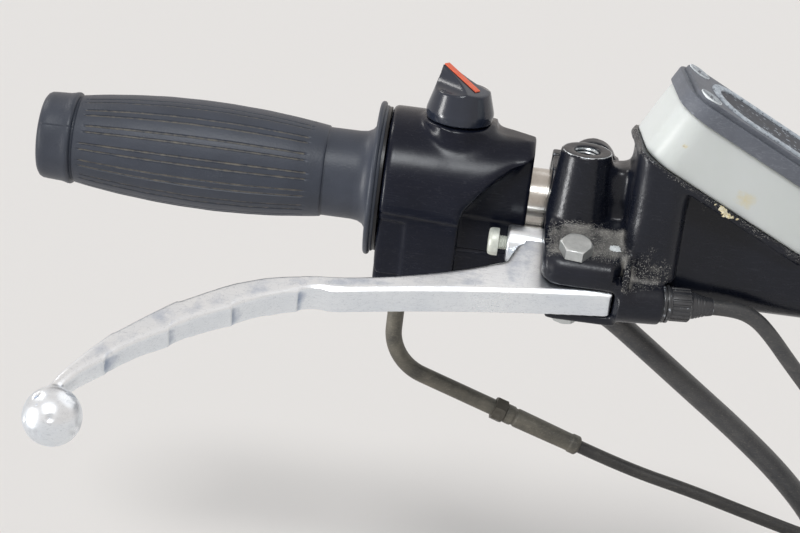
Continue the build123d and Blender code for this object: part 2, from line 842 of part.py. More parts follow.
# Master cylinder casting: ears, clamp half, mirror boss, cylinder, column and leaning seat
lever_up = Axis((0, 0, 0), (0, -dip_sin, dip_cos))
clamp_bolt_u = clamp_middle + clamp_bolt_shift
lug_places = [(clamp_bolt_u, clamp_bolt_z), (clamp_bolt_u, -clamp_bolt_z)]
with BuildPart() as master_cylinder_body:
    # ears, with a rounded front corner and a rolled upper edge
    with BuildSketch(lever_plane(ear_bottom)):
        with BuildLine():
            Line((ear_right, -10), (ear_left, -10))
            Line((ear_left, -10), (ear_left, -ear_front_q + ear_corner))
            ThreePointArc(
                (ear_left, -ear_front_q + ear_corner),
                (ear_left + 0.29 * ear_corner, -ear_front_q + 0.29 * ear_corner),
                (ear_left + ear_corner, -ear_front_q),
            )
            Line((ear_left + ear_corner, -ear_front_q), (ear_right, -ear_front_q))
            Line((ear_right, -ear_front_q), (ear_right, -10))
        make_face()
    extrude(amount=ear_top - ear_bottom)
    plateau = master_cylinder_body.faces().sort_by(lever_up)[-1]
    fillet(plateau.edges().sort_by(Axis.Y)[:2], ear_edge)
    # the lower ear's corner is cut back further than the upper one's
    with BuildSketch(lever_plane(ear_bottom - 1)):
        with Locations((ear_left, -ear_front_q)):
            Rectangle(ear_corner, 3 * ear_corner)
    extrude(amount=slot_bottom - ear_bottom + 1, mode=Mode.SUBTRACT)
    with BuildSketch(lever_plane(ear_bottom - 1)):
        with Locations((ear_right, -ear_front_q)):
            Rectangle(2 * lower_ear_short, 3 * ear_corner)
    extrude(amount=slot_bottom - ear_bottom + 1, mode=Mode.SUBTRACT)
    # front half of the clamp with its lugs
    with BuildSketch(Plane.YZ.offset(clamp_left)):
        Circle(clamp_radius)
        with Locations((clamp_radius, 0)):
            Rectangle(2 * clamp_radius + clamp_gap, 4 * clamp_radius, mode=Mode.SUBTRACT)
    extrude(amount=clamp_width)
    with BuildSketch(Plane.XZ.offset(clamp_gap / 2)):
        with Locations((clamp_middle, 0)):
            Rectangle(clamp_width, 2 * clamp_reach)
        with Locations(*lug_places):
            Circle(clamp_lug_radius)
    extrude(amount=clamp_lug_depth)
    # mirror boss
    with BuildSketch(Plane.XY.offset(4)):
        with Locations((mirror_u, mirror_y)):
            Circle(mirror_boss_radius + mirror_boss_flare)
    with BuildSketch(Plane.XY.offset(mirror_top)):
        with Locations((mirror_u, mirror_y)):
            Circle(mirror_boss_radius)
    loft()
    # cylinder
    with BuildSketch(Plane.YZ.offset(cylinder_left)):
        with Locations((cylinder_y, cylinder_z)):
            Circle(cylinder_radius)
    extrude(amount=cylinder_length)
    # column under the seat's outboard end
    with BuildSketch(Plane.XY.offset(cylinder_z)):
        with Locations((tank_u + column_width / 2 - 1, tank_y)):
            RectangleRounded(column_width, tank_width + 2 * seat_margin - 2, column_corner)
    extrude(amount=tank_z - cylinder_z + 10)
    # web that joins the clamp and the column
    with BuildSketch(Plane.XY.offset(cylinder_z)):
        with Locations(((clamp_right + tank_u) / 2, mirror_y + web_behind_mirror)):
            Rectangle(tank_u - clamp_right + 8, web_depth)
    extrude(amount=web_top - cylinder_z)
    # hopper from the seat down to the cylinder, wider at its foot
    with BuildSketch(Plane.XY.offset(cylinder_z)):
        with Locations((tank_u + column_width / 2 + hopper_length / 2, tank_y + 4)):
            Rectangle(hopper_length, hopper_width)
    extrude(amount=tank_z - cylinder_z, taper=hopper_taper)
    # boss of the brake light switch
    with BuildSketch(light_plane(0)):
        Circle(light_switch_radius)
    extrude(amount=light_switch_boss)
    # everything above the seat goes
    with BuildSketch(tank_plane(0)):
        Rectangle(1.3 * tank_length, 2 * tank_width)
    extrude(amount=3 * tank_height, mode=Mode.SUBTRACT)
    # reservoir seat
    with BuildSketch(tank_plane(0)):
        RectangleRounded(
            tank_length + 2 * seat_margin,
            tank_width + 2 * seat_margin,
            tank_corner + seat_margin,
        )
    extrude(amount=-seat_thickness)
    # slot for the lever, open to the front and the left
    with BuildSketch(lever_plane(slot_bottom)):
        with BuildLine():
            Polyline(
                (ear_left - 5, -slot_back_q),
                (cylinder_left, -slot_back_q),
                (cylinder_left, -adjuster_q - 11),
                (pivot_u + hub_radius + 2, -pivot_q + 4),
                (light_left - 0.4, -pivot_q + 1),
                (light_left - 0.4, -ear_front_q - 5),
                (ear_left - 5, -ear_front_q - 5),
                close=True,
            )
        make_face()
    extrude(amount=slot_top - slot_bottom, mode=Mode.SUBTRACT)
    # deeper pocket round the adjuster boss and the piston's boot
    with BuildSketch(lever_plane(lever_level - pocket_half)):
        with Locations(((ear_left - 5 + cylinder_left) / 2, -(slot_back_q + adjuster_q + 8) / 2)):
            Rectangle(cylinder_left - ear_left + 5, adjuster_q + 8 - slot_back_q)
    extrude(amount=2 * pocket_half, mode=Mode.SUBTRACT)
    # way for the bar, and the threaded holes of the mirror, the pivot, the clamp bolts and the hose
    with BuildSketch(Plane.YZ.offset(clamp_left - 1)):
        Circle(bar_radius)
    extrude(amount=cylinder_right + 20 - clamp_left, mode=Mode.SUBTRACT)
    with BuildSketch(Plane.XY.offset(mirror_top)):
        with Locations((mirror_u, mirror_y)):
            Circle(mirror_thread_radius)
    extrude(amount=-mirror_depth, mode=Mode.SUBTRACT)
    with BuildSketch(lever_plane(ear_bottom - 1)):
        with Locations((pivot_u, -pivot_q)):
            Circle(bolt_radius)
    extrude(amount=ear_top - ear_bottom + 2, mode=Mode.SUBTRACT)
    with BuildSketch(Plane.XZ):
        with Locations(*lug_places):
            Circle(bolt_radius)
    extrude(amount=clamp_gap / 2 + clamp_bolt_grip, mode=Mode.SUBTRACT)
    with BuildSketch(Plane.YZ.offset(cylinder_left - 8)):
        with Locations((cylinder_y, cylinder_z)):
            Circle(bore_radius)
    extrude(amount=bore_depth + 8, mode=Mode.SUBTRACT)
    with BuildSketch(Plane.YZ.offset(cylinder_right)):
        with Locations((cylinder_y, cylinder_z)):
            Circle(outlet_thread_radius)
    extrude(amount=-outlet_depth, mode=Mode.SUBTRACT)
master_cylinder_body.part.label = "master_cylinder_body"
export_step(master_cylinder_body.part, "parts/master_cylinder_body.step")

# Rear half of the clamp
with BuildPart() as clamp_cap:
    with BuildSketch(Plane.YZ.offset(clamp_left)):
        Circle(cap_radius)
        with Locations((-clamp_radius + clamp_gap / 2, 0)):
            Rectangle(2 * clamp_radius, 4 * clamp_radius, mode=Mode.SUBTRACT)
    extrude(amount=clamp_width)
    with BuildSketch(Plane.XZ.offset(-clamp_gap / 2)):
        with Locations((clamp_middle, 0)):
            Rectangle(clamp_width, 2 * clamp_reach)
        with Locations(*lug_places):
            Circle(clamp_lug_radius)
    extrude(amount=-cap_thickness)
    with BuildSketch(Plane.YZ.offset(clamp_left)):
        Circle(bar_radius)
    extrude(amount=clamp_width, mode=Mode.SUBTRACT)
    # flats under the bolt heads, and the bolt holes
    with BuildSketch(Plane.XZ.offset(-clamp_gap / 2 - cap_thickness)):
        with Locations(*lug_places):
            Circle(bolt_flats / 2 + 1.5)
    extrude(amount=-cap_radius, mode=Mode.SUBTRACT)
    with BuildSketch(Plane.XZ):
        with Locations(*lug_places):
            Circle(bolt_radius)
    extrude(amount=-2 * cap_radius, mode=Mode.SUBTRACT)
clamp_cap.part.label = "clamp_cap"
export_step(clamp_cap.part, "parts/clamp_cap.step")

# Clamp bolts, above and below the bar
clamp_bolt_table = [
    {"name": "clamp_bolt_upper", "z": clamp_bolt_z},
    {"name": "clamp_bolt_lower", "z": -clamp_bolt_z},
]
cap_back = clamp_gap / 2 + cap_thickness
for row in clamp_bolt_table:
    with BuildPart() as clamp_bolt:
        with BuildSketch(Plane.XZ.offset(-cap_back)):
            with Locations((clamp_bolt_u, row["z"])):
                RegularPolygon(bolt_flats / 2, 6, major_radius=False)
        extrude(amount=-bolt_head)
        with BuildSketch(Plane.XZ.offset(-cap_back)):
            with Locations((clamp_bolt_u, row["z"])):
                Circle(bolt_radius)
        extrude(amount=cap_back + clamp_bolt_grip)
    clamp_bolt.part.label = row["name"]
    export_step(clamp_bolt.part, "parts/" + row["name"] + ".step")

# Brake lever: a blade with a knee, its hub, adjuster boss and ball
knee_u = pivot_u + knee_from_pivot
knee_q = pivot_q + knee_forward
ball_u = pivot_u + ball_from_pivot
ball_q = pivot_q + ball_forward
root_u = pivot_u + root_from_pivot
boss_left = pivot_u + adjuster_boss_start
boss_right = boss_left + adjuster_boss_length
root_front = (root_u, -pivot_q - root_half - 3.7)
inner_front = (knee_u + 14.0, -knee_q - knee_half + 4.8)
outer_front = (knee_u - 1.5, -knee_q - knee_half - 0.1)
tip_front = (ball_u - 0.6, -ball_q + 7.4)
tip_back = (ball_u - 4.4, -ball_q + 6.9)
outer_back = (knee_u - 9.2, -knee_q + knee_half - 3.6)
inner_back = (knee_u + 13.7, -knee_q + knee_half + 1.2)
heel_back = (pivot_u - 22.4, -pivot_q + 3.0)
with BuildPart() as brake_lever:
    with BuildSketch(lever_plane(lever_bottom)):
        with BuildLine():
            ThreePointArc(root_front, bowed(root_front, inner_front, -1.5), inner_front)
            ThreePointArc(inner_front, bowed(inner_front, outer_front, -1.2), outer_front)
            ThreePointArc(outer_front, bowed(outer_front, tip_front, -4.6), tip_front)
            Line(tip_front, tip_back)
            ThreePointArc(tip_back, bowed(tip_back, outer_back, 8.8), outer_back)
            ThreePointArc(outer_back, bowed(outer_back, inner_back, 0.6), inner_back)
            ThreePointArc(inner_back, bowed(inner_back, heel_back, -2.7), heel_back)
            Polyline(
                heel_back,
                (boss_left + 5, -adjuster_q - adjuster_boss_radius),
                (boss_left + 8, -adjuster_q - 1),
                (boss_right, -adjuster_q - 1),
                (pivot_u, -pivot_q + hub_radius - 0.5),
                (root_u - 4.3, -pivot_q),
                (root_u, -pivot_q - 0.7),
                root_front,
            )
        make_face()
        with Locations((pivot_u, -pivot_q)):
            Circle(hub_radius)
    extrude(amount=lever_thickness)
    # the blade's underside rises towards the ball
    with BuildSketch(Plane(origin=(0, 0, 0), x_dir=(1, 0, 0), z_dir=(0, -dip_cos, -dip_sin))):
        with BuildLine():
            Polyline(
                (knee_u, lever_bottom),
                (2 * ball_u - knee_u, lever_bottom + 2 * neck_rise),
                (2 * ball_u - knee_u, lever_bottom - 1),
                (knee_u, lever_bottom - 1),
                close=True,
            )
        make_face()
    extrude(amount=2 * ball_q, mode=Mode.SUBTRACT)
    with BuildSketch(Plane.YZ.offset(boss_left)):
        with Locations((cylinder_y, cylinder_z)):
            Circle(adjuster_boss_radius)
    extrude(amount=adjuster_boss_length)
    with Locations(lever_plane(lever_level)):
        with Locations((ball_u, -ball_q)):
            Sphere(ball_radius)
    with BuildSketch(lever_plane(lever_bottom - 1)):
        with Locations((pivot_u, -pivot_q)):
            Circle(bolt_radius + bolt_play)
    extrude(amount=lever_thickness + 2, mode=Mode.SUBTRACT)
    with BuildSketch(Plane.YZ.offset(boss_left - 1)):
        with Locations((cylinder_y, cylinder_z)):
            Circle(adjuster_screw_radius)
    extrude(amount=adjuster_boss_length + 2, mode=Mode.SUBTRACT)
brake_lever.part.label = "brake_lever"
export_step(brake_lever.part, "parts/brake_lever.step")

# Adjuster screw, whose rounded tip pushes the piston
tip_right = piston_end - screw_free_play
with BuildPart() as adjuster_screw:
    with BuildSketch(Plane.YZ.offset(boss_left)):
        with Locations((cylinder_y, cylinder_z)):
            Circle(adjuster_screw_radius)
    extrude(amount=tip_right - adjuster_screw_radius - boss_left)
    with Locations((tip_right - adjuster_screw_radius, cylinder_y, cylinder_z)):
        Sphere(adjuster_screw_radius)
    with BuildSketch(Plane.YZ.offset(boss_left)):
        with Locations((cylinder_y, cylinder_z)):
            Circle(adjuster_head_radius)
    extrude(amount=-adjuster_head)
adjuster_screw.part.label = "adjuster_screw"
export_step(adjuster_screw.part, "parts/adjuster_screw.step")

# Pivot bolt with its hexagon head, and the nut below
with BuildPart() as pivot_bolt:
    with BuildSketch(lever_plane(ear_top)):
        with Locations((pivot_u, -pivot_q)):
            RegularPolygon(bolt_flats / 2, 6, major_radius=False)
    extrude(amount=bolt_head)
    with BuildSketch(lever_plane(ear_bottom - nut_height - 1)):
        with Locations((pivot_u, -pivot_q)):
            Circle(bolt_radius)
    extrude(amount=ear_top - ear_bottom + nut_height + 1)
pivot_bolt.part.label = "pivot_bolt"
export_step(pivot_bolt.part, "parts/pivot_bolt.step")
with BuildPart() as pivot_nut:
    with BuildSketch(lever_plane(ear_bottom - nut_height)):
        with Locations((pivot_u, -pivot_q)):
            RegularPolygon(bolt_flats / 2, 6, major_radius=False)
            Circle(bolt_radius, mode=Mode.SUBTRACT)
    extrude(amount=nut_height)
pivot_nut.part.label = "pivot_nut"
export_step(pivot_nut.part, "parts/pivot_nut.step")

# Piston, whose narrow nose the screw pushes
with BuildPart() as piston:
    with BuildSketch(Plane.YZ.offset(piston_end)):
        with Locations((cylinder_y, cylinder_z)):
            Circle(bore_radius - piston_nose)
    extrude(amount=piston_reach + piston_nose)
    with BuildSketch(Plane.YZ.offset(cylinder_left + piston_nose)):
        with Locations((cylinder_y, cylinder_z)):
            Circle(bore_radius - piston_play)
    extrude(amount=piston_length - piston_reach - piston_nose)
piston.part.label = "piston"
export_step(piston.part, "parts/piston.step")

# Rubber boot round the cylinder's mouth
with BuildPart() as piston_boot:
    with BuildSketch(Plane.YZ.offset(cylinder_left - boot_width)):
        with Locations((cylinder_y, cylinder_z)):
            Circle(bore_radius - 0.1)
            Circle(bore_radius - 0.1 - boot_wall, mode=Mode.SUBTRACT)
    extrude(amount=boot_width)
piston_boot.part.label = "piston_boot"
export_step(piston_boot.part, "parts/piston_boot.step")

# Brake light switch: two collars, ribbed body and tapered rubber
body_start = light_switch_boss + 2 * light_collar + light_collar_gap
boot_start = body_start + light_body
with BuildPart() as brake_light_switch:
    with BuildSketch(light_plane(light_switch_boss)):
        Circle(light_body_radius)
    extrude(amount=boot_start - light_switch_boss)
    for start in (light_switch_boss, light_switch_boss + light_collar + light_collar_gap):
        with BuildSketch(light_plane(start)):
            Circle(light_collar_radius)
        extrude(amount=light_collar)
    with BuildSketch(light_plane(boot_start)):
        Circle(light_boot_radius)
    with BuildSketch(light_plane(boot_start + light_boot)):
        Circle(lead_radius + 0.25)
    loft()
brake_light_switch.part.label = "brake_light_switch"
export_step(brake_light_switch.part, "parts/brake_light_switch.step")

# Lead of the light switch: out of the rubber, down past the cylinder and into its coil
lead_points = [
    tuple(light_plane(boot_start + light_boot).origin),
    tuple(light_plane(boot_start + light_boot + 7.5).origin),
    (3.6, -39.6, -18.4),
    (10.2, -38.6, -24.2),
    (19.2, -37.0, -34.6),
    (31.0, -35.4, -47.4),
    (43.0, -33.8, -61.0),
    (51.0, -32.4, -75.5),
    (54.0, -31.4, -92.0),
]
lead_coil_x = lead_points[-1][0] + lead_coil_radius
lead_coil_z = lead_points[-1][2]
lead_y = lead_points[-1][1]
lead_tail_y = lead_y + lead_radius
with BuildPart() as switch_lead:
    with BuildLine():
        FilletPolyline(*lead_points, radius=bend_radii(lead_points))
    with BuildSketch(start_plane(lead_points)):
        Circle(lead_radius)
    sweep()
switch_lead.part.label = "switch_lead"
export_step(switch_lead.part, "parts/switch_lead.step")
with BuildPart() as switch_lead_coil:
    with Locations(Location((lead_coil_x, lead_y + lead_radius / 2, lead_coil_z), (90, 0, 0))):
        Torus(lead_coil_radius, lead_coil_section)
switch_lead_coil.part.label = "switch_lead_coil"
export_step(switch_lead_coil.part, "parts/switch_lead_coil.step")
with BuildPart() as switch_lead_tail:
    with BuildSketch(Plane.XY.offset(lead_coil_z - 1)):
        with Locations((lead_points[-1][0], lead_tail_y)):
            Circle(lead_radius)
    extrude(amount=1 - lead_tail_length)
switch_lead_tail.part.label = "switch_lead_tail"
export_step(switch_lead_tail.part, "parts/switch_lead_tail.step")
with BuildPart() as switch_lead_connector:
    with BuildSketch(Plane.XY.offset(lead_coil_z - lead_tail_length)):
        with Locations((lead_points[-1][0], lead_tail_y)):
            RectangleRounded(lead_plug_width, lead_plug_depth, 1.5)
    extrude(amount=-lead_plug_length)
switch_lead_connector.part.label = "switch_lead_connector"
export_step(switch_lead_connector.part, "parts/switch_lead_connector.step")

# Radii and lengths of the cords, in millimetres
cord_table = [
    {"name": "throttle cable", "points": cable_points, "tube": throttle_cable, "radius": cable_radius},
    {"name": "loom sleeve", "points": loom_points, "tube": loom_sleeve, "radius": loom_radius},
    {"name": "switch lead", "points": lead_points, "tube": switch_lead, "radius": lead_radius},
]
for row in cord_table:
    length = row["tube"].part.volume / (pi * row["radius"] ** 2)
    radii = [round(radius, 1) for radius in bend_radii(row["points"])]
    print(row["name"], "length", round(length, 1), "bend radii", radii)
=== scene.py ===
from math import cos, pi, radians, sin

import bpy
import numpy as np
from mathutils import Matrix, Vector


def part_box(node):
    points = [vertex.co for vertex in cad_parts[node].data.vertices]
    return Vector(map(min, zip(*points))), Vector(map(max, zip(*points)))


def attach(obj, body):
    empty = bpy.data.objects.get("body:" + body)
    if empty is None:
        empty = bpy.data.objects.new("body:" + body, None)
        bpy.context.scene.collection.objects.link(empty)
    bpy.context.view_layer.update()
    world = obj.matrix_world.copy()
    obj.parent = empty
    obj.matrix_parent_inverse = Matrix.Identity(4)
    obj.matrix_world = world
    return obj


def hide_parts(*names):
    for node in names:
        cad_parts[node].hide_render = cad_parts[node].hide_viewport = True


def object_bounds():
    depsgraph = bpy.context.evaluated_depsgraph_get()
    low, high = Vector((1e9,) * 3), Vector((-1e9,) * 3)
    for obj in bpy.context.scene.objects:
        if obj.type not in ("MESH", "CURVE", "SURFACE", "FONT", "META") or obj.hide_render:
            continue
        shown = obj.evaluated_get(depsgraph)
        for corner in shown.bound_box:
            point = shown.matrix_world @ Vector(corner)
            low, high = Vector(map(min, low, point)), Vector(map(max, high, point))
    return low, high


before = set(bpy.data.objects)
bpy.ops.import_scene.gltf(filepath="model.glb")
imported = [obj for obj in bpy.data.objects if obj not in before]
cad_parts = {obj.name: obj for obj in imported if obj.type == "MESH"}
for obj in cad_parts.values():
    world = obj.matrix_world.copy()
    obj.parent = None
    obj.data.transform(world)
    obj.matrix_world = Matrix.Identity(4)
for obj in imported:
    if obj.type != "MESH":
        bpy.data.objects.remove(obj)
cad_box = [list(corner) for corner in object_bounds()]

bl_info = {
    "name": "Handlebar controls",
    "version": (1, 0, 0),
    "blender": (4, 5, 0),
    "location": "3D View > Sidebar > Controls",
    "description": "Builds the looks of a right-hand handlebar control group round its frame",
    "category": "Mesh",
}

# Every length below is in millimetres until make_piece turns it into metres.
# Places along the bar come from the frame; x runs along the bar, y towards the rider, z up.
MM = 0.001


def ends(node, axis=0):
    """Lowest and highest place of a node along an axis, in millimetres."""
    low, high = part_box(node)
    return low[axis] / MM, high[axis] / MM


# How far the lever's plane dips forward, and how far the reservoir leans and turns
DIP = radians(17)
LEAN = radians(28)
TURN = radians(7)
LEVER_UP = np.array([0, -sin(DIP), cos(DIP)])
LEVER_BACK = np.array([0, cos(DIP), sin(DIP)])
TANK_ALONG = np.array([cos(TURN) * cos(LEAN), sin(TURN), -cos(TURN) * sin(LEAN)])
TANK_UP = np.array([sin(LEAN), 0, cos(LEAN)])
TANK_ACROSS = np.cross(TANK_UP, TANK_ALONG)

# Where the pieces sit: u is a place along the bar, and q a way forward in the lever's plane
GRIP_LEFT, GRIP_RIGHT = ends("grip_rubber")
HOUSING_LEFT, HOUSING_RIGHT = ends("switch_housing_upper")
CLAMP_LEFT, CLAMP_RIGHT = ends("clamp_cap")
KNOB_X, KNOB_Y = HOUSING_LEFT + 23.7, -5
PIVOT_U, PIVOT_Q = CLAMP_LEFT + 10.2, 45.3
ADJUSTER_Q = 26.0
LEVER_LEVEL = -1.5
EAR_TOP = 13.5
MIRROR_X, MIRROR_Y = CLAMP_LEFT + 10.5, -22.5
TANK_LENGTH, TANK_WIDTH, TANK_CORNER = 72.0, 36.0, 10.0
SEAT_END = np.array([CLAMP_LEFT + 27.5, -28.0, 36.5])


def lever_place(u, q, n):
    """A place u along the bar, q forward and n up in the plane of the lever."""
    return np.array([u, -q * cos(DIP) - n * sin(DIP), -q * sin(DIP) + n * cos(DIP)])


def lever_view(points):
    """How far points lie ahead of the bar, and how high, in the plane of the lever."""
    return -(points @ LEVER_BACK), points @ LEVER_UP


def tank_place(x, y, h):
    """A place x along, y across and h above the seat of the reservoir, from the tank's middle."""
    return SEAT_END + TANK_ALONG * (TANK_LENGTH / 2 + x) + TANK_ACROSS * y + TANK_UP * h


def over_seat(points):
    """How high points lie over the reservoir's seat."""
    return (points - tank_place(0, 0, 0)) @ TANK_UP


def basis(z_dir, x_dir):
    """Rows x, y, z of a right-handed frame: z along z_dir, x as near to x_dir as can be."""
    z = np.array(z_dir, float) / np.linalg.norm(z_dir)
    x = np.array(x_dir, float) - np.dot(x_dir, z) * z
    x /= np.linalg.norm(x)
    return np.array([x, np.cross(z, x), z])


def carried(points, origin, z_dir, x_dir):
    """Points of a local frame carried to its place: origin plus x, y and z along the basis."""
    return np.asarray(points) @ basis(z_dir, x_dir) + np.asarray(origin)


# Surfaces


def grid_faces(rows, columns, wrap):
    """Quads of a grid of points counted row by row; the columns close on themselves if wrap."""
    row = np.arange(rows - 1)[:, None]
    column = np.arange(columns if wrap else columns - 1)[None, :]
    after = (column + 1) % columns
    below = (row + 1) * columns
    corners = [row * columns + column, row * columns + after, below + after, below + column]
    shape = (rows - 1, column.shape[1])
    return np.stack([np.broadcast_to(corner, shape) for corner in corners], -1).reshape(-1, 4)


def outward(points, faces):
    """A closed skin whose faces point outwards: turned round if the volume they enclose, the sum of
    a . (b x c) / 6 over its triangles, comes out negative."""
    a, b, c, d = (points[faces[:, k]] for k in range(4))
    volume = (a * np.cross(b, c)).sum() + (a * np.cross(c, d)).sum()
    return points, (faces if volume > 0 else faces[:, [1, 0, 3, 2]])


def closed_grid(points):
    """A skin of rings, each closed on itself, with a middle point as pole at both ends."""
    rows, columns, _ = points.shape
    faces = grid_faces(rows, columns, True)
    ring = np.arange(columns)
    after = (ring + 1) % columns
    first, last = rows * columns, rows * columns + 1
    base = (rows - 1) * columns
    pole = np.full((columns, 2), first)
    start = np.column_stack([after, ring, pole])
    end = np.column_stack([base + ring, base + after, pole + last - first])
    poles = np.array([points[0].mean(0), points[-1].mean(0)])
    return outward(np.concatenate([points.reshape(-1, 3), poles]), np.concatenate([faces, start, end]))


def ring_grid(points):
    """A skin of rings that closes on itself both ways."""
    rows, columns, _ = points.shape
    return outward(points.reshape(-1, 3), grid_faces(rows + 1, columns, True) % (rows * columns))


def turned(profile, sides=96):
    """A profile of (height, radius) rows turned about z: x = r cos t, y = r sin t, z = height."""
    profile = np.asarray(profile, float)
    angle = np.linspace(0, 2 * pi, sides, endpoint=False)
    height, radius = profile[:, 0], profile[:, 1]
    ring = np.stack([np.cos(angle), np.sin(angle)], -1)
    flat = radius[:, None, None] * ring[None]
    return np.concatenate([flat, np.broadcast_to(height[:, None, None], flat.shape[:2] + (1,))], -1)


def rounded(profile, size=0.4, steps=3):
    """A profile whose inner corners are cut and curved: each corner becomes a short parabola."""
    profile = np.asarray(profile, float)
    before, corner, after = profile[:-2], profile[1:-1], profile[2:]
    to_before, to_after = before - corner, after - corner
    length_before = np.linalg.norm(to_before, axis=1, keepdims=True)
    length_after = np.linalg.norm(to_after, axis=1, keepdims=True)
    cut = np.minimum(size, 0.45 * np.minimum(length_before, length_after))
    start, end = corner + to_before / length_before * cut, corner + to_after / length_after * cut
    t = np.linspace(0, 1, steps)[None, :, None]
    bent = (1 - t) ** 2 * start[:, None] + 2 * t * (1 - t) * corner[:, None] + t**2 * end[:, None]
    return np.concatenate([profile[:1], bent.reshape(-1, 2), profile[-1:]])


def rounded_oblong(length, width, corner, steps=10, side=12):
    """Outline of an oblong with round corners: a quarter circle about each corner's centre, and
    points spaced evenly along the straight sides."""
    quarter = np.linspace(0, pi / 2, steps)
    turns = (np.arange(4)[:, None] * pi / 2 + quarter[None]).reshape(-1)
    x = np.repeat([1, -1, -1, 1], steps) * (length / 2 - corner) + corner * np.cos(turns)
    y = np.repeat([1, 1, -1, -1], steps) * (width / 2 - corner) + corner * np.sin(turns)
    arcs = np.stack([x, y], -1).reshape(4, steps, 2)
    t = np.linspace(0, 1, side + 1)[None, 1:-1, None]
    straight = arcs[:, -1:] * (1 - t) + np.roll(arcs[:, :1], -1, axis=0) * t
    return np.concatenate([arcs, straight], axis=1).reshape(-1, 2)


def stacked(outline_of, profile):
    """Rings of an outline that shrinks as it rises: profile holds (height, inset) rows."""
    return np.stack([np.column_stack([outline_of(inset), np.full(len(outline_of(inset)), height)])
                     for height, inset in profile])


def along(path, radius, sides):
    """A round tube whose rings stand square to a path: centre plus r (n cos t + b sin t)."""
    tangent = np.gradient(path, axis=0)
    tangent /= np.linalg.norm(tangent, axis=1, keepdims=True)
    normal = np.cross(np.cross(tangent, (0, 1, 0)), tangent)
    normal /= np.linalg.norm(normal, axis=1, keepdims=True)
    binormal = np.cross(tangent, normal)
    angle = np.linspace(0, 2 * pi, sides, endpoint=False)[None, :, None]
    return path[:, None] + radius * (normal[:, None] * np.cos(angle) + binormal[:, None] * np.sin(angle))


def rise(value, width):
    """0 below zero, 1 above width, and an even ramp between."""
    return np.clip(value / width, 0, 1)


def ripple(points, size, seed, waves=5):
    """Soft unevenness between -1 and 1: a few sines of random directions, size in mm apart."""
    draw = np.random.default_rng(seed)
    pull = draw.normal(size=(waves, 3)) * 2 * pi / size
    phase = draw.uniform(0, 2 * pi, waves)
    return np.sin(points @ pull.T + phase).mean(-1)


# Pieces


def make_mesh(name, points, faces):
    """A mesh from points in millimetres and rows of four corners; a repeated last corner is a triangle."""
    mesh = bpy.data.meshes.new(name)
    triangle = faces[:, 2] == faces[:, 3]
    counts = np.where(triangle, 3, 4)
    keep = np.ones(faces.shape, bool)
    keep[triangle, 3] = False
    mesh.vertices.add(len(points))
    mesh.vertices.foreach_set("co", (np.asarray(points) * MM).astype(np.float32).ravel())
    mesh.loops.add(int(counts.sum()))
    mesh.loops.foreach_set("vertex_index", faces[keep].astype(np.int32))
    mesh.polygons.add(len(faces))
    mesh.polygons.foreach_set("loop_start", np.concatenate([[0], counts.cumsum()[:-1]]).astype(np.int32))
    mesh.polygons.foreach_set("use_smooth", np.ones(len(faces), bool))
    mesh.update(calc_edges=True)
    mesh.validate()
    return mesh


def joined(*skins):
    """Several skins, each points and faces, as one."""
    offsets = np.cumsum([0] + [len(points) for points, _ in skins[:-1]])
    points = np.concatenate([points for points, _ in skins])
    return points, np.concatenate([faces + offset for (_, faces), offset in zip(skins, offsets)])


def points_of(mesh):
    """The points of a mesh in millimetres."""
    place = np.empty(len(mesh.vertices) * 3, np.float32)
    mesh.vertices.foreach_get("co", place)
    return place.reshape(-1, 3).astype(float) / MM


def move_points(mesh, points):
    """Puts the points of a mesh at new places in millimetres."""
    mesh.vertices.foreach_set("co", (points * MM).astype(np.float32).ravel())
    mesh.update()


def edges_of(mesh):
    """First and second points of a mesh's edges, and a function that gives each point the mean of
    what its edges bring it: to_first to their first points, and to_second to their second."""
    count = len(mesh.vertices)
    edge = np.empty(len(mesh.edges) * 2, np.int32)
    mesh.edges.foreach_get("vertices", edge)
    first, second = edge.reshape(-1, 2).T
    near = np.maximum(np.bincount(first, minlength=count) + np.bincount(second, minlength=count), 1)

    def mean(to_first, to_second):
        return (np.bincount(first, to_first, count) + np.bincount(second, to_second, count)) / near

    return first, second, mean


def store_value(mesh, name, value):
    """Writes an attribute that holds one value for each point."""
    mesh.attributes.new(name, "FLOAT", "POINT").data.foreach_set("value", value.astype(np.float32))


def store_crest(mesh, spread=3):
    """Writes the attribute crest: above 0 on outer edges and below 0 in hollows.

    It is how far each point stands outside the mean of its neighbours, along its normal and over
    the length of an edge, evened out a few times between neighbours."""
    place = points_of(mesh)
    normal = np.empty(place.size, np.float32)
    mesh.vertex_normals.foreach_get("vector", normal)
    first, second, mean = edges_of(mesh)
    middle = np.stack([mean(place[second, axis], place[first, axis]) for axis in range(3)], -1)
    apart = np.linalg.norm(place[first] - place[second], axis=1)
    outside = ((place - middle) * normal.reshape(-1, 3)).sum(1)
    crest = outside / np.maximum(mean(apart, apart), 1e-6)
    for _ in range(spread):
        crest = 0.5 * crest + 0.5 * mean(crest[second], crest[first])
    store_value(mesh, "crest", crest)


def make_piece(name, skin, body, finish, replaces=(), sharp=35, soil_and_shade=None):
    """An object of one skin, dressed in a finish, riding on a body and standing for CAD nodes.

    A function of points in millimetres may give each point a stored value, 0 to 1 and more: where dirt lies,
    and on the lever blade where painted shade and a painted dark reflection lie."""
    mesh = skin if isinstance(skin, bpy.types.Mesh) else make_mesh(name, *skin)
    store_crest(mesh)
    if soil_and_shade:
        store_value(mesh, "soil_and_shade", soil_and_shade(points_of(mesh)))
    mesh.set_sharp_from_angle(angle=radians(sharp))
    piece = bpy.data.objects.new(name, mesh)
    bpy.context.scene.collection.objects.link(piece)
    mesh.materials.clear()
    mesh.materials.append(FINISHES[finish]["material"])
    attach(piece, body)
    if replaces:
        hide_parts(*replaces)
    return piece


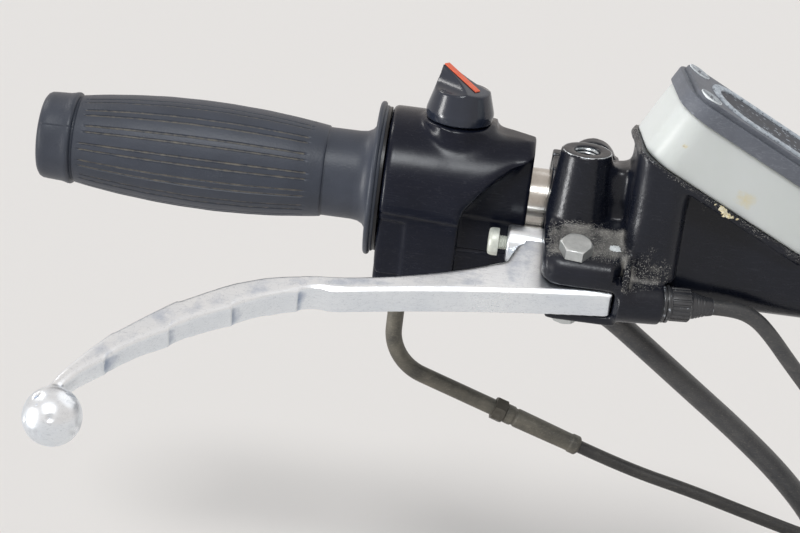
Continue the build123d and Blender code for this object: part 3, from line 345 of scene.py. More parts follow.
def evened(mesh, passes):
    """Moves each point half way to the mean of its neighbours, as many times as passes gives it.

    passes is a number, or a function of the points in millimetres that returns one for each."""
    place = points_of(mesh)
    first, second, mean = edges_of(mesh)
    wanted = passes(place) if callable(passes) else np.full(len(place), passes)
    for step in range(int(wanted.max())):
        middle = np.stack([mean(place[second, axis], place[first, axis]) for axis in range(3)], -1)
        place += (middle - place) * np.clip(wanted - step, 0, 1)[:, None] * 0.5
    move_points(mesh, place)
    return place


def before_front(points, among):
    """How far each point lies ahead of the front, below zero behind it: the front is the furthest
    of the points named by among, in each cell along the bar, evened over five cells."""
    origin, width = -230, 1.5
    ahead = lever_view(points)[0]
    cell = ((points[:, 0] - origin) / width).astype(int)
    furthest = np.full(cell[among].max() + 1, -np.inf)
    np.maximum.at(furthest, cell[among], ahead[among])
    known = np.flatnonzero(np.isfinite(furthest))
    even = np.convolve(np.pad(furthest[known], 2, "edge"), np.full(5, 0.2), "valid")
    return ahead - np.interp(points[:, 0], origin + width * (known + 0.5), even)


def softened(cad_node, voxel, passes, shape=None, axes=np.eye(3)):
    """A CAD node's shape as a casting has it: its triangles merged, laid out anew in even cells of
    one voxel, and evened out so that edges and inner corners turn round. The cells stand along axes,
    and shape may move the points."""
    mesh = bpy.data.meshes.new_from_object(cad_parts[cad_node])
    turn = Matrix([list(row) for row in axes]).to_4x4()
    mesh.transform(turn)
    work = bpy.data.objects.new(cad_node + "_work", mesh)
    bpy.context.scene.collection.objects.link(work)
    weld = work.modifiers.new("Weld", "WELD")
    weld.merge_threshold = 1e-6
    cells = work.modifiers.new("Cells", "REMESH")
    cells.mode = "VOXEL"
    cells.voxel_size = voxel * MM
    cells.use_smooth_shade = True
    view = bpy.context.evaluated_depsgraph_get()
    made = bpy.data.meshes.new_from_object(work.evaluated_get(view))
    bpy.data.objects.remove(work)
    made.transform(turn.transposed())
    place = evened(made, passes)
    if shape:
        move_points(made, shape(place))
    return made


# Finishes


def shade(red, green, blue):
    """A colour written as on a screen, 0 to 255, in the linear values that shaders take."""
    value = np.array([red, green, blue]) / 255
    linear = np.where(value <= 0.04045, value / 12.92, ((value + 0.055) / 1.055) ** 2.4)
    return (*(float(v) for v in linear), 1.0)


def node(tree, kind, sockets=(), **settings):
    """A node with its settings, and its sockets set or joined up."""
    made = tree.nodes.new(kind)
    for key, value in settings.items():
        setattr(made, key, value)
    for key, value in dict(sockets).items():
        if isinstance(value, bpy.types.NodeSocket):
            tree.links.new(value, made.inputs[key])
        else:
            made.inputs[key].default_value = value
    return made


def maths(tree, operation, a, b=0.0, clamp=False):
    """One Math node's result."""
    return node(tree, "ShaderNodeMath", {0: a, 1: b}, operation=operation, use_clamp=clamp).outputs[0]


def blended(tree, factor, a, b):
    """Colour a turning to colour b by a factor."""
    made = node(tree, "ShaderNodeMix", {0: factor, 6: a, 7: b}, data_type="RGBA")
    return made.outputs[2]


def shared_effect(name, inputs, build):
    """A node group with named float inputs and one output, Mask, filled in by build."""
    tree = bpy.data.node_groups.new(name, "ShaderNodeTree")
    for label, value in inputs.items():
        socket = tree.interface.new_socket(label, in_out="INPUT", socket_type="NodeSocketFloat")
        socket.default_value = value
    tree.interface.new_socket("Mask", in_out="OUTPUT", socket_type="NodeSocketFloat")
    start, end = tree.nodes.new("NodeGroupInput"), tree.nodes.new("NodeGroupOutput")
    tree.links.new(build(tree, start.outputs), end.inputs["Mask"])
    return tree


def noise(tree, scale, detail=3.0, stretch=(1, 1, 1), roughness=0.55):
    """Noise on object coordinates, about scale cells in a metre, drawn out by stretch."""
    place = node(tree, "ShaderNodeTexCoord").outputs["Object"]
    spread = node(tree, "ShaderNodeVectorMath", {0: place, 1: stretch}, operation="MULTIPLY").outputs[0]
    made = node(tree, "ShaderNodeTexNoise", {"Vector": spread, "Scale": scale, "Detail": detail,
                                             "Roughness": roughness})
    return made.outputs["Fac"]


def stored(tree, name):
    """The value that a mesh holds under a name."""
    return node(tree, "ShaderNodeAttribute", attribute_name=name).outputs["Fac"]


def build_worn_edges_and_highlights(tree, given):
    """Outer edges lightened in an uneven line: rubbed through on most finishes, a painted highlight on the
    light switch and partly on the casting and lid: crest plus noise, over a threshold.
    """
    crest = stored(tree, "crest")
    uneven = maths(tree, "SUBTRACT", noise(tree, given["Scale"], 5.0), 0.5)
    height = maths(tree, "ADD", maths(tree, "MULTIPLY", crest, given["Edge"]), uneven)
    over = maths(tree, "SUBTRACT", height, maths(tree, "SUBTRACT", 0.75, given["Amount"]))
    return maths(tree, "MULTIPLY", over, 7.0, clamp=True)


def build_dust_and_shade(tree, given):
    """Dust, and on some finishes painted shade: hollows, the places that a piece marks and what faces up,
    their sum plus noise, over a threshold.
    """
    crest = stored(tree, "crest")
    up = node(tree, "ShaderNodeSeparateXYZ", {0: node(tree, "ShaderNodeTexCoord").outputs["Normal"]})
    level = maths(tree, "MULTIPLY", maths(tree, "MAXIMUM", up.outputs[2], 0.0), given["Rise"])
    hollow = maths(tree, "MULTIPLY", crest, maths(tree, "MULTIPLY", given["Hollow"], -1.0))
    uneven = maths(tree, "SUBTRACT", noise(tree, given["Scale"], 6.0, roughness=0.65), 0.5)
    soil_and_shade = maths(tree, "MULTIPLY", stored(tree, "soil_and_shade"), 0.5)
    height = maths(tree, "ADD", maths(tree, "ADD", hollow, level), maths(tree, "ADD", uneven, soil_and_shade))
    over = maths(tree, "SUBTRACT", height, maths(tree, "SUBTRACT", 0.55, given["Amount"]))
    return maths(tree, "MULTIPLY", over, 2.5, clamp=True)


def build_grit(tree, given):
    """Scattered grains: the inner part of small cells, where soil lies and a slow noise allows them."""
    place = node(tree, "ShaderNodeTexCoord").outputs["Object"]
    cells = node(tree, "ShaderNodeTexVoronoi", {"Vector": place, "Scale": given["Scale"]})
    grain = maths(tree, "SUBTRACT", 0.32, cells.outputs["Distance"])
    soil_and_shade = maths(tree, "MULTIPLY", stored(tree, "soil_and_shade"), 0.55)
    level = maths(tree, "ADD", noise(tree, 160.0, 3.0), soil_and_shade)
    patch = maths(tree, "SUBTRACT", level, maths(tree, "SUBTRACT", 0.75, given["Amount"]))
    patch = maths(tree, "MULTIPLY", patch, 5.0, clamp=True)
    return maths(tree, "MULTIPLY", maths(tree, "MULTIPLY", grain, 6.0, clamp=True), patch)


def build_scratches(tree, given):
    """Fine scratches: thin bands of two drawn-out noises where their value passes one half."""
    total = None
    for stretch in ((1, 14, 9), (6, 1, 16)):
        uneven = maths(tree, "SUBTRACT", noise(tree, given["Scale"], 2.0, stretch), 0.5)
        line = maths(tree, "ABSOLUTE", uneven)
        thin = maths(tree, "SUBTRACT", 1.0, maths(tree, "MULTIPLY", line, 90.0), clamp=True)
        total = thin if total is None else maths(tree, "MAXIMUM", total, thin)
    return maths(tree, "MULTIPLY", total, given["Amount"])


EFFECTS = {}
FINISHES = {}


def build_effects():
    """The effects that several finishes share, each a node group made once."""
    for key, name, build, inputs in (
            ("edges", "Worn edges and highlights", build_worn_edges_and_highlights, dict(Amount=0.2, Scale=300.0, Edge=6.0)),
            ("dust_and_shade", "Settled dust and shade", build_dust_and_shade, dict(Amount=0.2, Scale=120.0, Hollow=6.0, Rise=0.1)),
            ("grit", "Grit", build_grit, dict(Amount=0.2, Scale=2200.0)),
            ("scratches", "Fine scratches", build_scratches, dict(Amount=0.5, Scale=60.0))):
        EFFECTS[key] = shared_effect(name, inputs, build)


def effect(tree, name, values):
    """One placed shared effect's mask, with values for its inputs in their order."""
    return node(tree, "ShaderNodeGroup", dict(enumerate(values)), node_tree=EFFECTS[name]).outputs["Mask"]


def make_finish(name, slot, colour, second, rough, rough_change=0.1, patches=40.0, metallic=0.0, level=0.5,
                edges=None, dust_and_shade=None, grit=None, scratches=None, bump=(0.15, 900.0), grain=(1, 1, 1),
                soft=0.0):
    """A material: two colours in patches, then an edge layer (wear, and a painted highlight on some
    finishes), a dust layer (painted shade on some finishes), grit and scratches over them, and a fine bump.

    The edge, dust and grit layers each hold a colour, a roughness and the shared effect's values; scratches
    hold a colour and the values; bump holds its strength and how many grains lie in a metre."""
    material = bpy.data.materials.new(name)
    material.use_nodes = True
    tree = material.node_tree
    shader = tree.nodes["Principled BSDF"]
    patch = noise(tree, patches, 4.0)
    share = maths(tree, "MULTIPLY", maths(tree, "SUBTRACT", patch, 0.3), 2.2, clamp=True)
    mixed = blended(tree, share, colour, second)
    change = maths(tree, "MULTIPLY", maths(tree, "SUBTRACT", patch, 0.5), 2 * rough_change)
    roughness = maths(tree, "ADD", change, rough)
    strength, scale = bump
    height = noise(tree, scale, 4.0, grain)
    for key, layer, push in (("edges", edges, -1.0), ("dust_and_shade", dust_and_shade, 0.6), ("grit", grit, 3.0)):
        if layer:
            tint, dull, *values = layer
            mask = effect(tree, key, values)
            mixed = blended(tree, mask, mixed, tint)
            duller = maths(tree, "MULTIPLY", mask, maths(tree, "SUBTRACT", dull, roughness))
            roughness = maths(tree, "ADD", roughness, duller)
            height = maths(tree, "ADD", height, maths(tree, "MULTIPLY", mask, push))
    if scratches:
        tint, *values = scratches
        mask = effect(tree, "scratches", values)
        mixed = blended(tree, mask, mixed, tint)
        roughness = maths(tree, "ADD", roughness, maths(tree, "MULTIPLY", mask, 0.15))
    relief = node(tree, "ShaderNodeBump", {"Strength": strength, "Distance": 0.0004, "Height": height})
    tree.links.new(mixed, shader.inputs["Base Color"])
    tree.links.new(maths(tree, "MAXIMUM", roughness, 0.04), shader.inputs["Roughness"])
    tree.links.new(relief.outputs[0], shader.inputs["Normal"])
    plain = {"Metallic": metallic, "Specular IOR Level": level}
    if soft:
        plain |= {"Subsurface Weight": soft, "Subsurface Radius": (1.0, 1.0, 0.9), "Subsurface Scale": 0.004}
    for key, value in plain.items():
        shader.inputs[key].default_value = value
    FINISHES[name] = {"material": material, "slot": slot}


def build_finishes(looks):
    """Every finish of this object, from the colours chosen."""
    make_finish("grip rubber", "rubber", tuple(looks.rubber), shade(60, 64, 74), 0.42, 0.08, 60.0,
                level=0.35, edges=(shade(96, 100, 110), 0.5, 0.05, 420.0, 3.0),
                dust_and_shade=(shade(122, 116, 106), 0.9, 0.3, 420.0, 0.3, 0.0), bump=(0.22, 1500.0))
    make_finish("gloss black", "gloss_black", tuple(looks.paint), shade(19, 22, 34), 0.24, 0.1, 45.0,
                level=0.2, edges=(shade(92, 90, 88), 0.3, 0.02, 350.0, 3.5),
                dust_and_shade=(shade(84, 80, 74), 0.7, 0.0, 260.0, 3.0, 0.05),
                scratches=(shade(60, 60, 66), 0.2, 45.0), bump=(0.06, 400.0))
    make_finish("black plastic", "black_plastic", shade(18, 18, 21), shade(28, 28, 31), 0.35, 0.1, 60.0,
                level=0.35, edges=(shade(110, 112, 118), 0.35, 0.05, 500.0, 4.0),
                dust_and_shade=(shade(104, 98, 88), 0.8, 0.04, 300.0, 4.0, 0.05))
    # the pale edge layer is partly worn paint and partly a painted highlight along the arrises
    make_finish("cast black", "casting_black", tuple(looks.casting), shade(19, 22, 32), 0.28, 0.1, 45.0,
                level=0.32, edges=(shade(150, 152, 158), 0.3, 0.07, 520.0, 4.0),
                dust_and_shade=(shade(138, 134, 128), 0.9, 0.06, 170.0, 2.5, 0.05),
                grit=(shade(196, 192, 184), 0.95, 0.04, 2300.0), scratches=(shade(84, 84, 92), 0.1, 50.0),
                bump=(0.2, 600.0))
    # on the lever the dust layer is painted: a bluish painted shade on faces that look up, and painted shade
    # and a painted dark reflection where the blade marks them; it also gathers in hollows
    make_finish("lever aluminium", "lever_aluminium", tuple(looks.lever), shade(222, 228, 235), 0.3, 0.08,
                42.0, metallic=1.0, dust_and_shade=(shade(142, 156, 180), 0.45, 0.04, 90.0, 3.0, 0.58),
                scratches=(shade(168, 174, 184), 0.4, 60.0), bump=(0.2, 900.0), grain=(0.15, 1, 1))
    make_finish("zinc", "zinc_steel", shade(206, 209, 209), shade(176, 180, 180), 0.4, 0.1, 260.0,
                metallic=0.9, dust_and_shade=(shade(126, 118, 104), 0.9, 0.04, 500.0, 4.0, 0.0), bump=(0.2, 1800.0))
    make_finish("hazy chrome", "bar_chrome", shade(198, 195, 190), shade(168, 163, 156), 0.2, 0.1, 90.0,
                metallic=1.0, dust_and_shade=(shade(132, 118, 98), 0.9, 0.04, 300.0, 3.0, 0.02), bump=(0.08, 900.0))
    make_finish("orange enamel", "stripe_orange", tuple(looks.stripe), shade(208, 84, 50), 0.45, 0.1, 200.0,
                edges=(shade(90, 40, 30), 0.6, 0.02, 600.0, 2.0), bump=(0.15, 1500.0))
    make_finish("milky plastic", "tank_translucent", tuple(looks.tank), shade(196, 199, 195), 0.34, 0.06,
                34.0, soft=0.5, dust_and_shade=(shade(206, 190, 140), 0.5, 0.22, 150.0, 0.0, 0.0),
                grit=(shade(120, 84, 44), 0.6, -0.35, 700.0), bump=(0.05, 300.0))
    # the pale edge layer is partly chalky wear and partly a painted highlight along the lid's top edges; the
    # lighter dust layer also covers the faces that look up, so the top stays paler than the side
    make_finish("faded charcoal", "lid_grey", tuple(looks.lid), shade(86, 89, 96), 0.5, 0.1, 60.0,
                level=0.4, edges=(shade(156, 160, 166), 0.7, 0.1, 300.0, 4.0),
                dust_and_shade=(shade(132, 135, 141), 0.8, 0.08, 200.0, 3.0, 0.5),
                scratches=(shade(140, 142, 148), 0.4, 50.0), bump=(0.15, 900.0))
    make_finish("chalky band", "lid_grey", shade(204, 208, 212), shade(140, 146, 153), 0.8, 0.1, 420.0,
                grit=(shade(84, 88, 96), 0.8, 0.42, 750.0), bump=(0.5, 1300.0))
    make_finish("dark recess", "lid_grey", shade(40, 42, 50), shade(66, 70, 78), 0.6, 0.1, 120.0, level=0.3,
                grit=(shade(176, 182, 188), 0.9, 0.42, 480.0))
    # the pale edge layer here is a painted highlight along the switch's edges and ribs
    make_finish("plastic with painted highlights", "black_plastic", shade(34, 35, 40), shade(62, 62, 64), 0.28, 0.1, 130.0,
                level=0.6, edges=(shade(188, 192, 198), 0.3, 0.2, 500.0, 4.0),
                dust_and_shade=(shade(124, 118, 108), 0.8, 0.06, 300.0, 5.0, 0.1))
    # the dark colour laid in its hollows is painted shade in the screw heads' cross recesses
    make_finish("corroded steel", "zinc_steel", shade(188, 192, 195), shade(128, 132, 136), 0.7, 0.1, 500.0,
                metallic=0.2, edges=(shade(226, 229, 230), 0.9, 0.3, 600.0, 5.0),
                grit=(shade(225, 228, 228), 0.9, 0.3, 1800.0),
                dust_and_shade=(shade(50, 50, 54), 0.9, 0.1, 500.0, 7.0, 0.0), bump=(0.5, 1600.0))
    make_finish("dusty casing", "cable_black", shade(30, 30, 31), shade(44, 43, 42), 0.45, 0.1, 120.0,
                level=0.45, dust_and_shade=(shade(124, 115, 101), 0.9, 0.22, 330.0, 2.0, 0.14),
                scratches=(shade(104, 98, 88), 0.4, 90.0), bump=(0.3, 1500.0))
    make_finish("grey sleeve", "cable_black", shade(48, 49, 52), shade(72, 71, 71), 0.42, 0.1, 90.0,
                level=0.5, dust_and_shade=(shade(134, 125, 111), 0.9, 0.16, 260.0, 2.0, 0.16),
                scratches=(shade(124, 118, 108), 0.4, 90.0), bump=(0.3, 1500.0))
    make_finish("stained sleeve", "cable_black", shade(64, 62, 57), shade(100, 95, 85), 0.5, 0.1, 160.0,
                level=0.35, dust_and_shade=(shade(146, 136, 114), 0.9, 0.12, 200.0, 2.0, 0.1),
                scratches=(shade(140, 134, 120), 0.4, 90.0), bump=(0.3, 1500.0))
    make_finish("gloss knob", "gloss_black", shade(28, 33, 44), shade(38, 43, 55), 0.2, 0.04, 90.0,
                level=0.5, dust_and_shade=(shade(96, 94, 90), 0.6, 0.0, 400.0, 4.0, 0.03), bump=(0.05, 700.0))
    make_finish("dark zinc", "zinc_steel", shade(92, 90, 84), shade(70, 66, 60), 0.5, 0.1, 500.0,
                metallic=0.7, dust_and_shade=(shade(112, 102, 86), 0.9, 0.2, 500.0, 4.0, 0.05))
    make_finish("dull zinc", "zinc_steel", shade(222, 224, 214), shade(188, 190, 180), 0.5, 0.1, 500.0,
                metallic=0.3, dust_and_shade=(shade(96, 92, 82), 0.9, 0.06, 500.0, 7.0, 0.0))
    make_finish("bright thread", "casting_black", shade(206, 212, 216), shade(120, 124, 128), 0.3, 0.1,
                300.0, metallic=0.9)
    make_finish("crust", "casting_black", shade(214, 196, 146), shade(236, 230, 212), 0.9, 0.05, 900.0,
                grit=(shade(150, 130, 92), 0.9, 0.2, 2600.0), bump=(0.8, 2600.0))
    make_finish("bare metal", "casting_black", shade(236, 238, 238), shade(206, 208, 206), 0.6, 0.1, 900.0,
                bump=(0.6, 2600.0))


# Sizes and colours that a user would change


def colour_setting(name, description, *screen_colour):
    """A colour to choose, its default written as on a screen."""
    return bpy.props.FloatVectorProperty(name=name, description=description, subtype="COLOR", size=4,
                                         default=shade(*screen_colour), min=0, max=1)


def size_setting(name, description, default, low, high):
    """A size in millimetres to choose between two limits."""
    return bpy.props.FloatProperty(name=name, description=description, default=default, min=low, max=high)


def count_setting(name, description, default, low, high):
    """A whole number to choose between two limits."""
    return bpy.props.IntProperty(name=name, description=description, default=default, min=low, max=high)


def thickness_setting(name, description, default):
    """A cord's thickness in metres."""
    return bpy.props.FloatProperty(name=name, description=description, default=default, unit="LENGTH")


class Looks(bpy.types.PropertyGroup):
    """Colours of the finishes, as light from 0 to 1."""
    rubber: colour_setting("Grip rubber", "Colour of the aged grip rubber", 50, 54, 63)
    paint: colour_setting("Housing paint", "Colour of the switch housing", 12, 15, 26)
    casting: colour_setting("Casting paint", "Colour of the master cylinder and its clamp", 12, 15, 24)
    lever: colour_setting("Lever metal", "Colour of the dulled aluminium lever", 240, 244, 248)
    stripe: colour_setting("Stripe", "Colour of the stripe on the knob", 226, 100, 64)
    tank: colour_setting("Reservoir", "Colour of the milky reservoir", 204, 206, 204)
    lid: colour_setting("Lid", "Colour of the faded reservoir lid", 98, 101, 109)


class GripSizes(bpy.types.PropertyGroup):
    """Sizes of the grip's pattern, in millimetres."""
    pairs: count_setting("Groove pairs", "Pairs of grooves round the barrel", 16, 4, 40)
    groove_depth: size_setting("Groove depth", "Depth of a groove", 0.6, 0.1, 1.5)
    groove_width: size_setting("Groove width", "Width of a groove", 0.95, 0.3, 2.0)
    groove_apart: size_setting("Grooves apart", "From a pair's middle to a groove", 1.25, 0.6, 2.5)


class CastingSizes(bpy.types.PropertyGroup):
    """Sizes of the cells that castings are laid out in, in millimetres, and how often they are evened."""
    housing_cell: size_setting("Housing cell", "Cell of the switch housing", 0.6, 0.4, 3)
    casting_cell: size_setting("Casting cell", "Cell of the master cylinder", 0.7, 0.5, 3)
    lever_cell: size_setting("Lever cell", "Cell of the brake lever", 0.5, 0.35, 3)
    knob_cell: size_setting("Knob cell", "Cell of the stop knob", 0.3, 0.2, 1)
    evenings: count_setting("Evenings", "How often edges are evened out", 6, 1, 40)


class CordSizes(bpy.types.PropertyGroup):
    """Thicknesses of the cords."""
    cable: thickness_setting("Throttle cable", "Diameter of the throttle cable's casing", 0.0048)
    loom: thickness_setting("Wiring sleeve", "Diameter of the switches' wiring sleeve", 0.0085)
    lead: thickness_setting("Switch lead", "Diameter of the light switch's lead", 0.0055)


class StageSettings(bpy.types.PropertyGroup):
    """Floor, lights and camera."""
    floor: colour_setting("Floor", "Colour of the floor", 232, 225, 219)
    key: bpy.props.FloatProperty(name="Key light", description="Strength of the main lamp", default=1.5,
                                 min=0)
    focal: size_setting("Focal length", "Focal length of the camera in millimetres", 90, 20, 300)


class ControlsSettings(bpy.types.PropertyGroup):
    """All that can be set."""
    looks: bpy.props.PointerProperty(type=Looks)
    grip: bpy.props.PointerProperty(type=GripSizes)
    castings: bpy.props.PointerProperty(type=CastingSizes)
    cords: bpy.props.PointerProperty(type=CordSizes)
    stage: bpy.props.PointerProperty(type=StageSettings)


# Stage and finishes


# The camera fitted to the photograph: its place in metres, then its right, upward and backward directions
CAMERA_PLACE = (-0.10244, -0.6788, 0.2413)
CAMERA_AXES = ((0.99100, 0.07160, 0.11300), (-0.13160, 0.36850, 0.92020), (0.02430, -0.92690, 0.37460))


def place_lamp(name, lamp, toward, place=(0, 0, 0)):
    """Puts a lamp at a place, with its light running toward a direction."""
    placed = bpy.data.objects.new(name, lamp)
    placed.location = place
    placed.rotation_mode = "QUATERNION"
    placed.rotation_quaternion = Vector(toward).to_track_quat("-Z", "Y")
    bpy.context.scene.collection.objects.link(placed)


def add_sun(name, strength, angle, toward, colour):
    """A soft lamp whose light runs toward a direction."""
    lamp = bpy.data.lights.new(name, "SUN")
    lamp.energy, lamp.angle, lamp.color = strength, radians(angle), colour
    place_lamp(name, lamp, toward)


def add_strip(name, power, place, aim, width, height):
    """An upright oblong lamp whose light stays in a narrow cone round the place that it aims at."""
    lamp = bpy.data.lights.new(name, "AREA")
    lamp.shape, lamp.size, lamp.size_y = "RECTANGLE", width, height
    lamp.energy, lamp.spread = power, radians(34)
    place_lamp(name, lamp, np.subtract(aim, place), place)


def seen_ray(tree):
    """1 where a ray comes from the camera or off gloss or through glass, else 0."""
    path = node(tree, "ShaderNodeLightPath").outputs
    some = maths(tree, "MAXIMUM", path["Is Camera Ray"], path["Is Glossy Ray"])
    return maths(tree, "MAXIMUM", some, path["Is Transmission Ray"])


class MakeStage(bpy.types.Operator):
    """Camera at the photograph's angle, pale floor, soft lamps and a pale surround."""
    bl_idname = "controls.stage"
    bl_label = "Stage"

    def execute(self, context):
        chosen = context.scene.controls.stage
        camera = bpy.data.objects.new("Camera", bpy.data.cameras.new("Camera"))
        camera.data.lens, camera.data.sensor_width = chosen.focal, 36
        camera.data.clip_start, camera.data.clip_end = 0.02, 20
        camera.rotation_mode = "QUATERNION"
        camera.rotation_quaternion = Matrix(CAMERA_AXES).transposed().to_quaternion()
        camera.location = CAMERA_PLACE
        context.scene.collection.objects.link(camera)
        context.scene.camera = camera
        colour = tuple(chosen.floor)
        corner = np.array([[-6, -6], [6, -6], [6, 6], [-6, 6]]) / MM
        height = cad_box[0][2] / MM - 0.5
        points = np.column_stack([corner, np.full(4, height)])
        floor_mesh = make_mesh("Floor", points, np.array([[0, 1, 2, 3]]))
        floor = bpy.data.objects.new("Floor", floor_mesh)
        context.scene.collection.objects.link(floor)
        material = bpy.data.materials.new("pale floor")
        material.use_nodes = True
        tree = material.node_tree
        shader = tree.nodes["Principled BSDF"]
        shader.inputs["Base Color"].default_value = colour
        shader.inputs["Roughness"].default_value = 0.9
        shader.inputs["Specular IOR Level"].default_value = 0.1
        floor_mesh.materials.append(material)
        world = bpy.data.worlds.new("Surround")
        context.scene.world = world
        world.use_nodes = True
        tree = world.node_tree
        plain = tree.nodes["Background"]
        plain.inputs["Color"].default_value = (0.86, 0.93, 1.0, 1)
        plain.inputs["Strength"].default_value = 0.45
        seen = node(tree, "ShaderNodeBackground", {"Color": colour, "Strength": 1.0})
        parts = {0: seen_ray(tree), 1: plain.outputs[0], 2: seen.outputs[0]}
        mixed = node(tree, "ShaderNodeMixShader", parts)
        tree.links.new(mixed.outputs[0], tree.nodes["World Output"].inputs["Surface"])
        add_sun("Key lamp", chosen.key, 16, (0.10, 0.62, -0.85), (0.95, 0.98, 1.0))
        add_sun("Side lamp", 0.42 * chosen.key, 14, (0.93, 0.35, -0.16), (1.0, 0.99, 0.97))
        add_strip("Side strip", 0.06 * chosen.key, (-0.60, -0.27, -0.06), (-0.06, -0.03, 0.01), 0.07, 0.26)
        add_sun("Rim lamp", 0.35 * chosen.key, 14, (0.75, -0.5, -0.8), (1.0, 0.99, 0.97))
        add_sun("Fill lamp", 0.27 * chosen.key, 60, (-0.5, -0.55, -0.6), (0.92, 0.96, 1.0))
        return {"FINISHED"}


class MakeFinishes(bpy.types.Operator):
    """Every material of the object, and the effects they share."""
    bl_idname = "controls.finishes"
    bl_label = "Finishes"

    def execute(self, context):
        build_effects()
        build_finishes(context.scene.controls.looks)
        return {"FINISHED"}


# Cords


def cord_curve(name, points, diameter, finish, replaces):
    """A round cord along one smooth line with these control points, in metres."""
    curve = bpy.data.curves.new(name, "CURVE")
    curve.dimensions = "3D"
    curve.bevel_depth = diameter / 2
    curve.bevel_resolution = 5
    curve.use_fill_caps = True
    line = curve.splines.new("NURBS")
    line.points.add(len(points) - 1)
    line.points.foreach_set("co", np.column_stack([points, np.ones(len(points))]).ravel())
    line.order_u = 3
    line.use_endpoint_u = True
    line.resolution_u = 8
    made = bpy.data.objects.new(name, curve)
    bpy.context.scene.collection.objects.link(made)
    curve.materials.append(FINISHES[finish]["material"])
    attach(made, "base")
    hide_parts(*replaces)
    return made


def coil_points(centre, radius, start, turns, clockwise, lift, steps=12):
    """Control points of a coil in the x-z plane: angle start plus the turns, with lift(t) giving how
    far a strand stands out of the middle circle (dr) and towards the rider (dy) after t turns. The
    cord runs inside its control points, at a share of their radius."""
    share_of_radius = 0.966
    t = np.arange(1, int(turns * steps)) / steps
    angle = start + (-1 if clockwise else 1) * 2 * pi * t
    out, aside = lift(t)
    reach = (radius + out) / share_of_radius
    x, z = centre[0] + reach * np.cos(angle), centre[2] + reach * np.sin(angle)
    return np.column_stack([x, centre[1] + aside, z])


# Routes of the cords, in metres, as in the part's source
CABLE_ROUTE = [
    (-0.0464, -0.0155, -0.0883), (-0.0274, -0.0155, -0.0948), (-0.0030, -0.0165, -0.0998),
    (0.0210, -0.0169, -0.1063), (0.0450, -0.0179, -0.1122), (0.0600, -0.0190, -0.1133),
]
LOOM_ROUTE = [
    (-0.0777, -0.0030, -0.0325), (-0.0610, -0.0030, -0.0325), (-0.0450, -0.0030, -0.0380),
    (-0.0270, -0.0030, -0.0510), (-0.0080, -0.0030, -0.0650), (0.0120, -0.0030, -0.0796),
    (0.0310, -0.0030, -0.0950), (0.0470, -0.0036, -0.1115), (0.0568, -0.0044, -0.1290),
    (0.0596, -0.0050, -0.1400),
]
LEAD_ROUTE = [
    (-0.0114, -0.04195, -0.01585), (-0.0040, -0.0409, -0.01585), (0.0036, -0.0396, -0.0184),
    (0.0102, -0.0386, -0.0242), (0.0192, -0.0370, -0.0346), (0.0310, -0.0354, -0.0474),
    (0.0430, -0.0338, -0.0610), (0.0510, -0.0332, -0.0755), (0.0537, -0.0328, -0.0860),
]


def plug_skin(x, y, top, width, depth, length, wall):
    """A multi-way plug: a rounded oblong that steps in at its collar, with ribs on its sides."""
    heights = [0, 0.3, 3, 3.2, 6, 6.3]
    insets = [wall + 0.5, wall, wall, 0, 0, 0.5]
    ribs = np.arange(8, length - 4, 2.2)
    for rib in ribs:
        heights += [rib, rib + 0.3, rib + 1.1, rib + 1.4]
        insets += [0.5, 0, 0, 0.5]
    heights += [length - 0.6, length, length]
    insets += [0.5, 1.1, 2.6]

    def outline(inset):
        return rounded_oblong(width - 2 * inset, depth - 2 * inset, 1.9 - min(inset, 1.5) * 0.8)

    rings = stacked(outline, zip(heights, insets))
    rings[..., 2] = top - rings[..., 2]
    rings[..., 0] += x
    rings[..., 1] += y
    return closed_grid(rings)


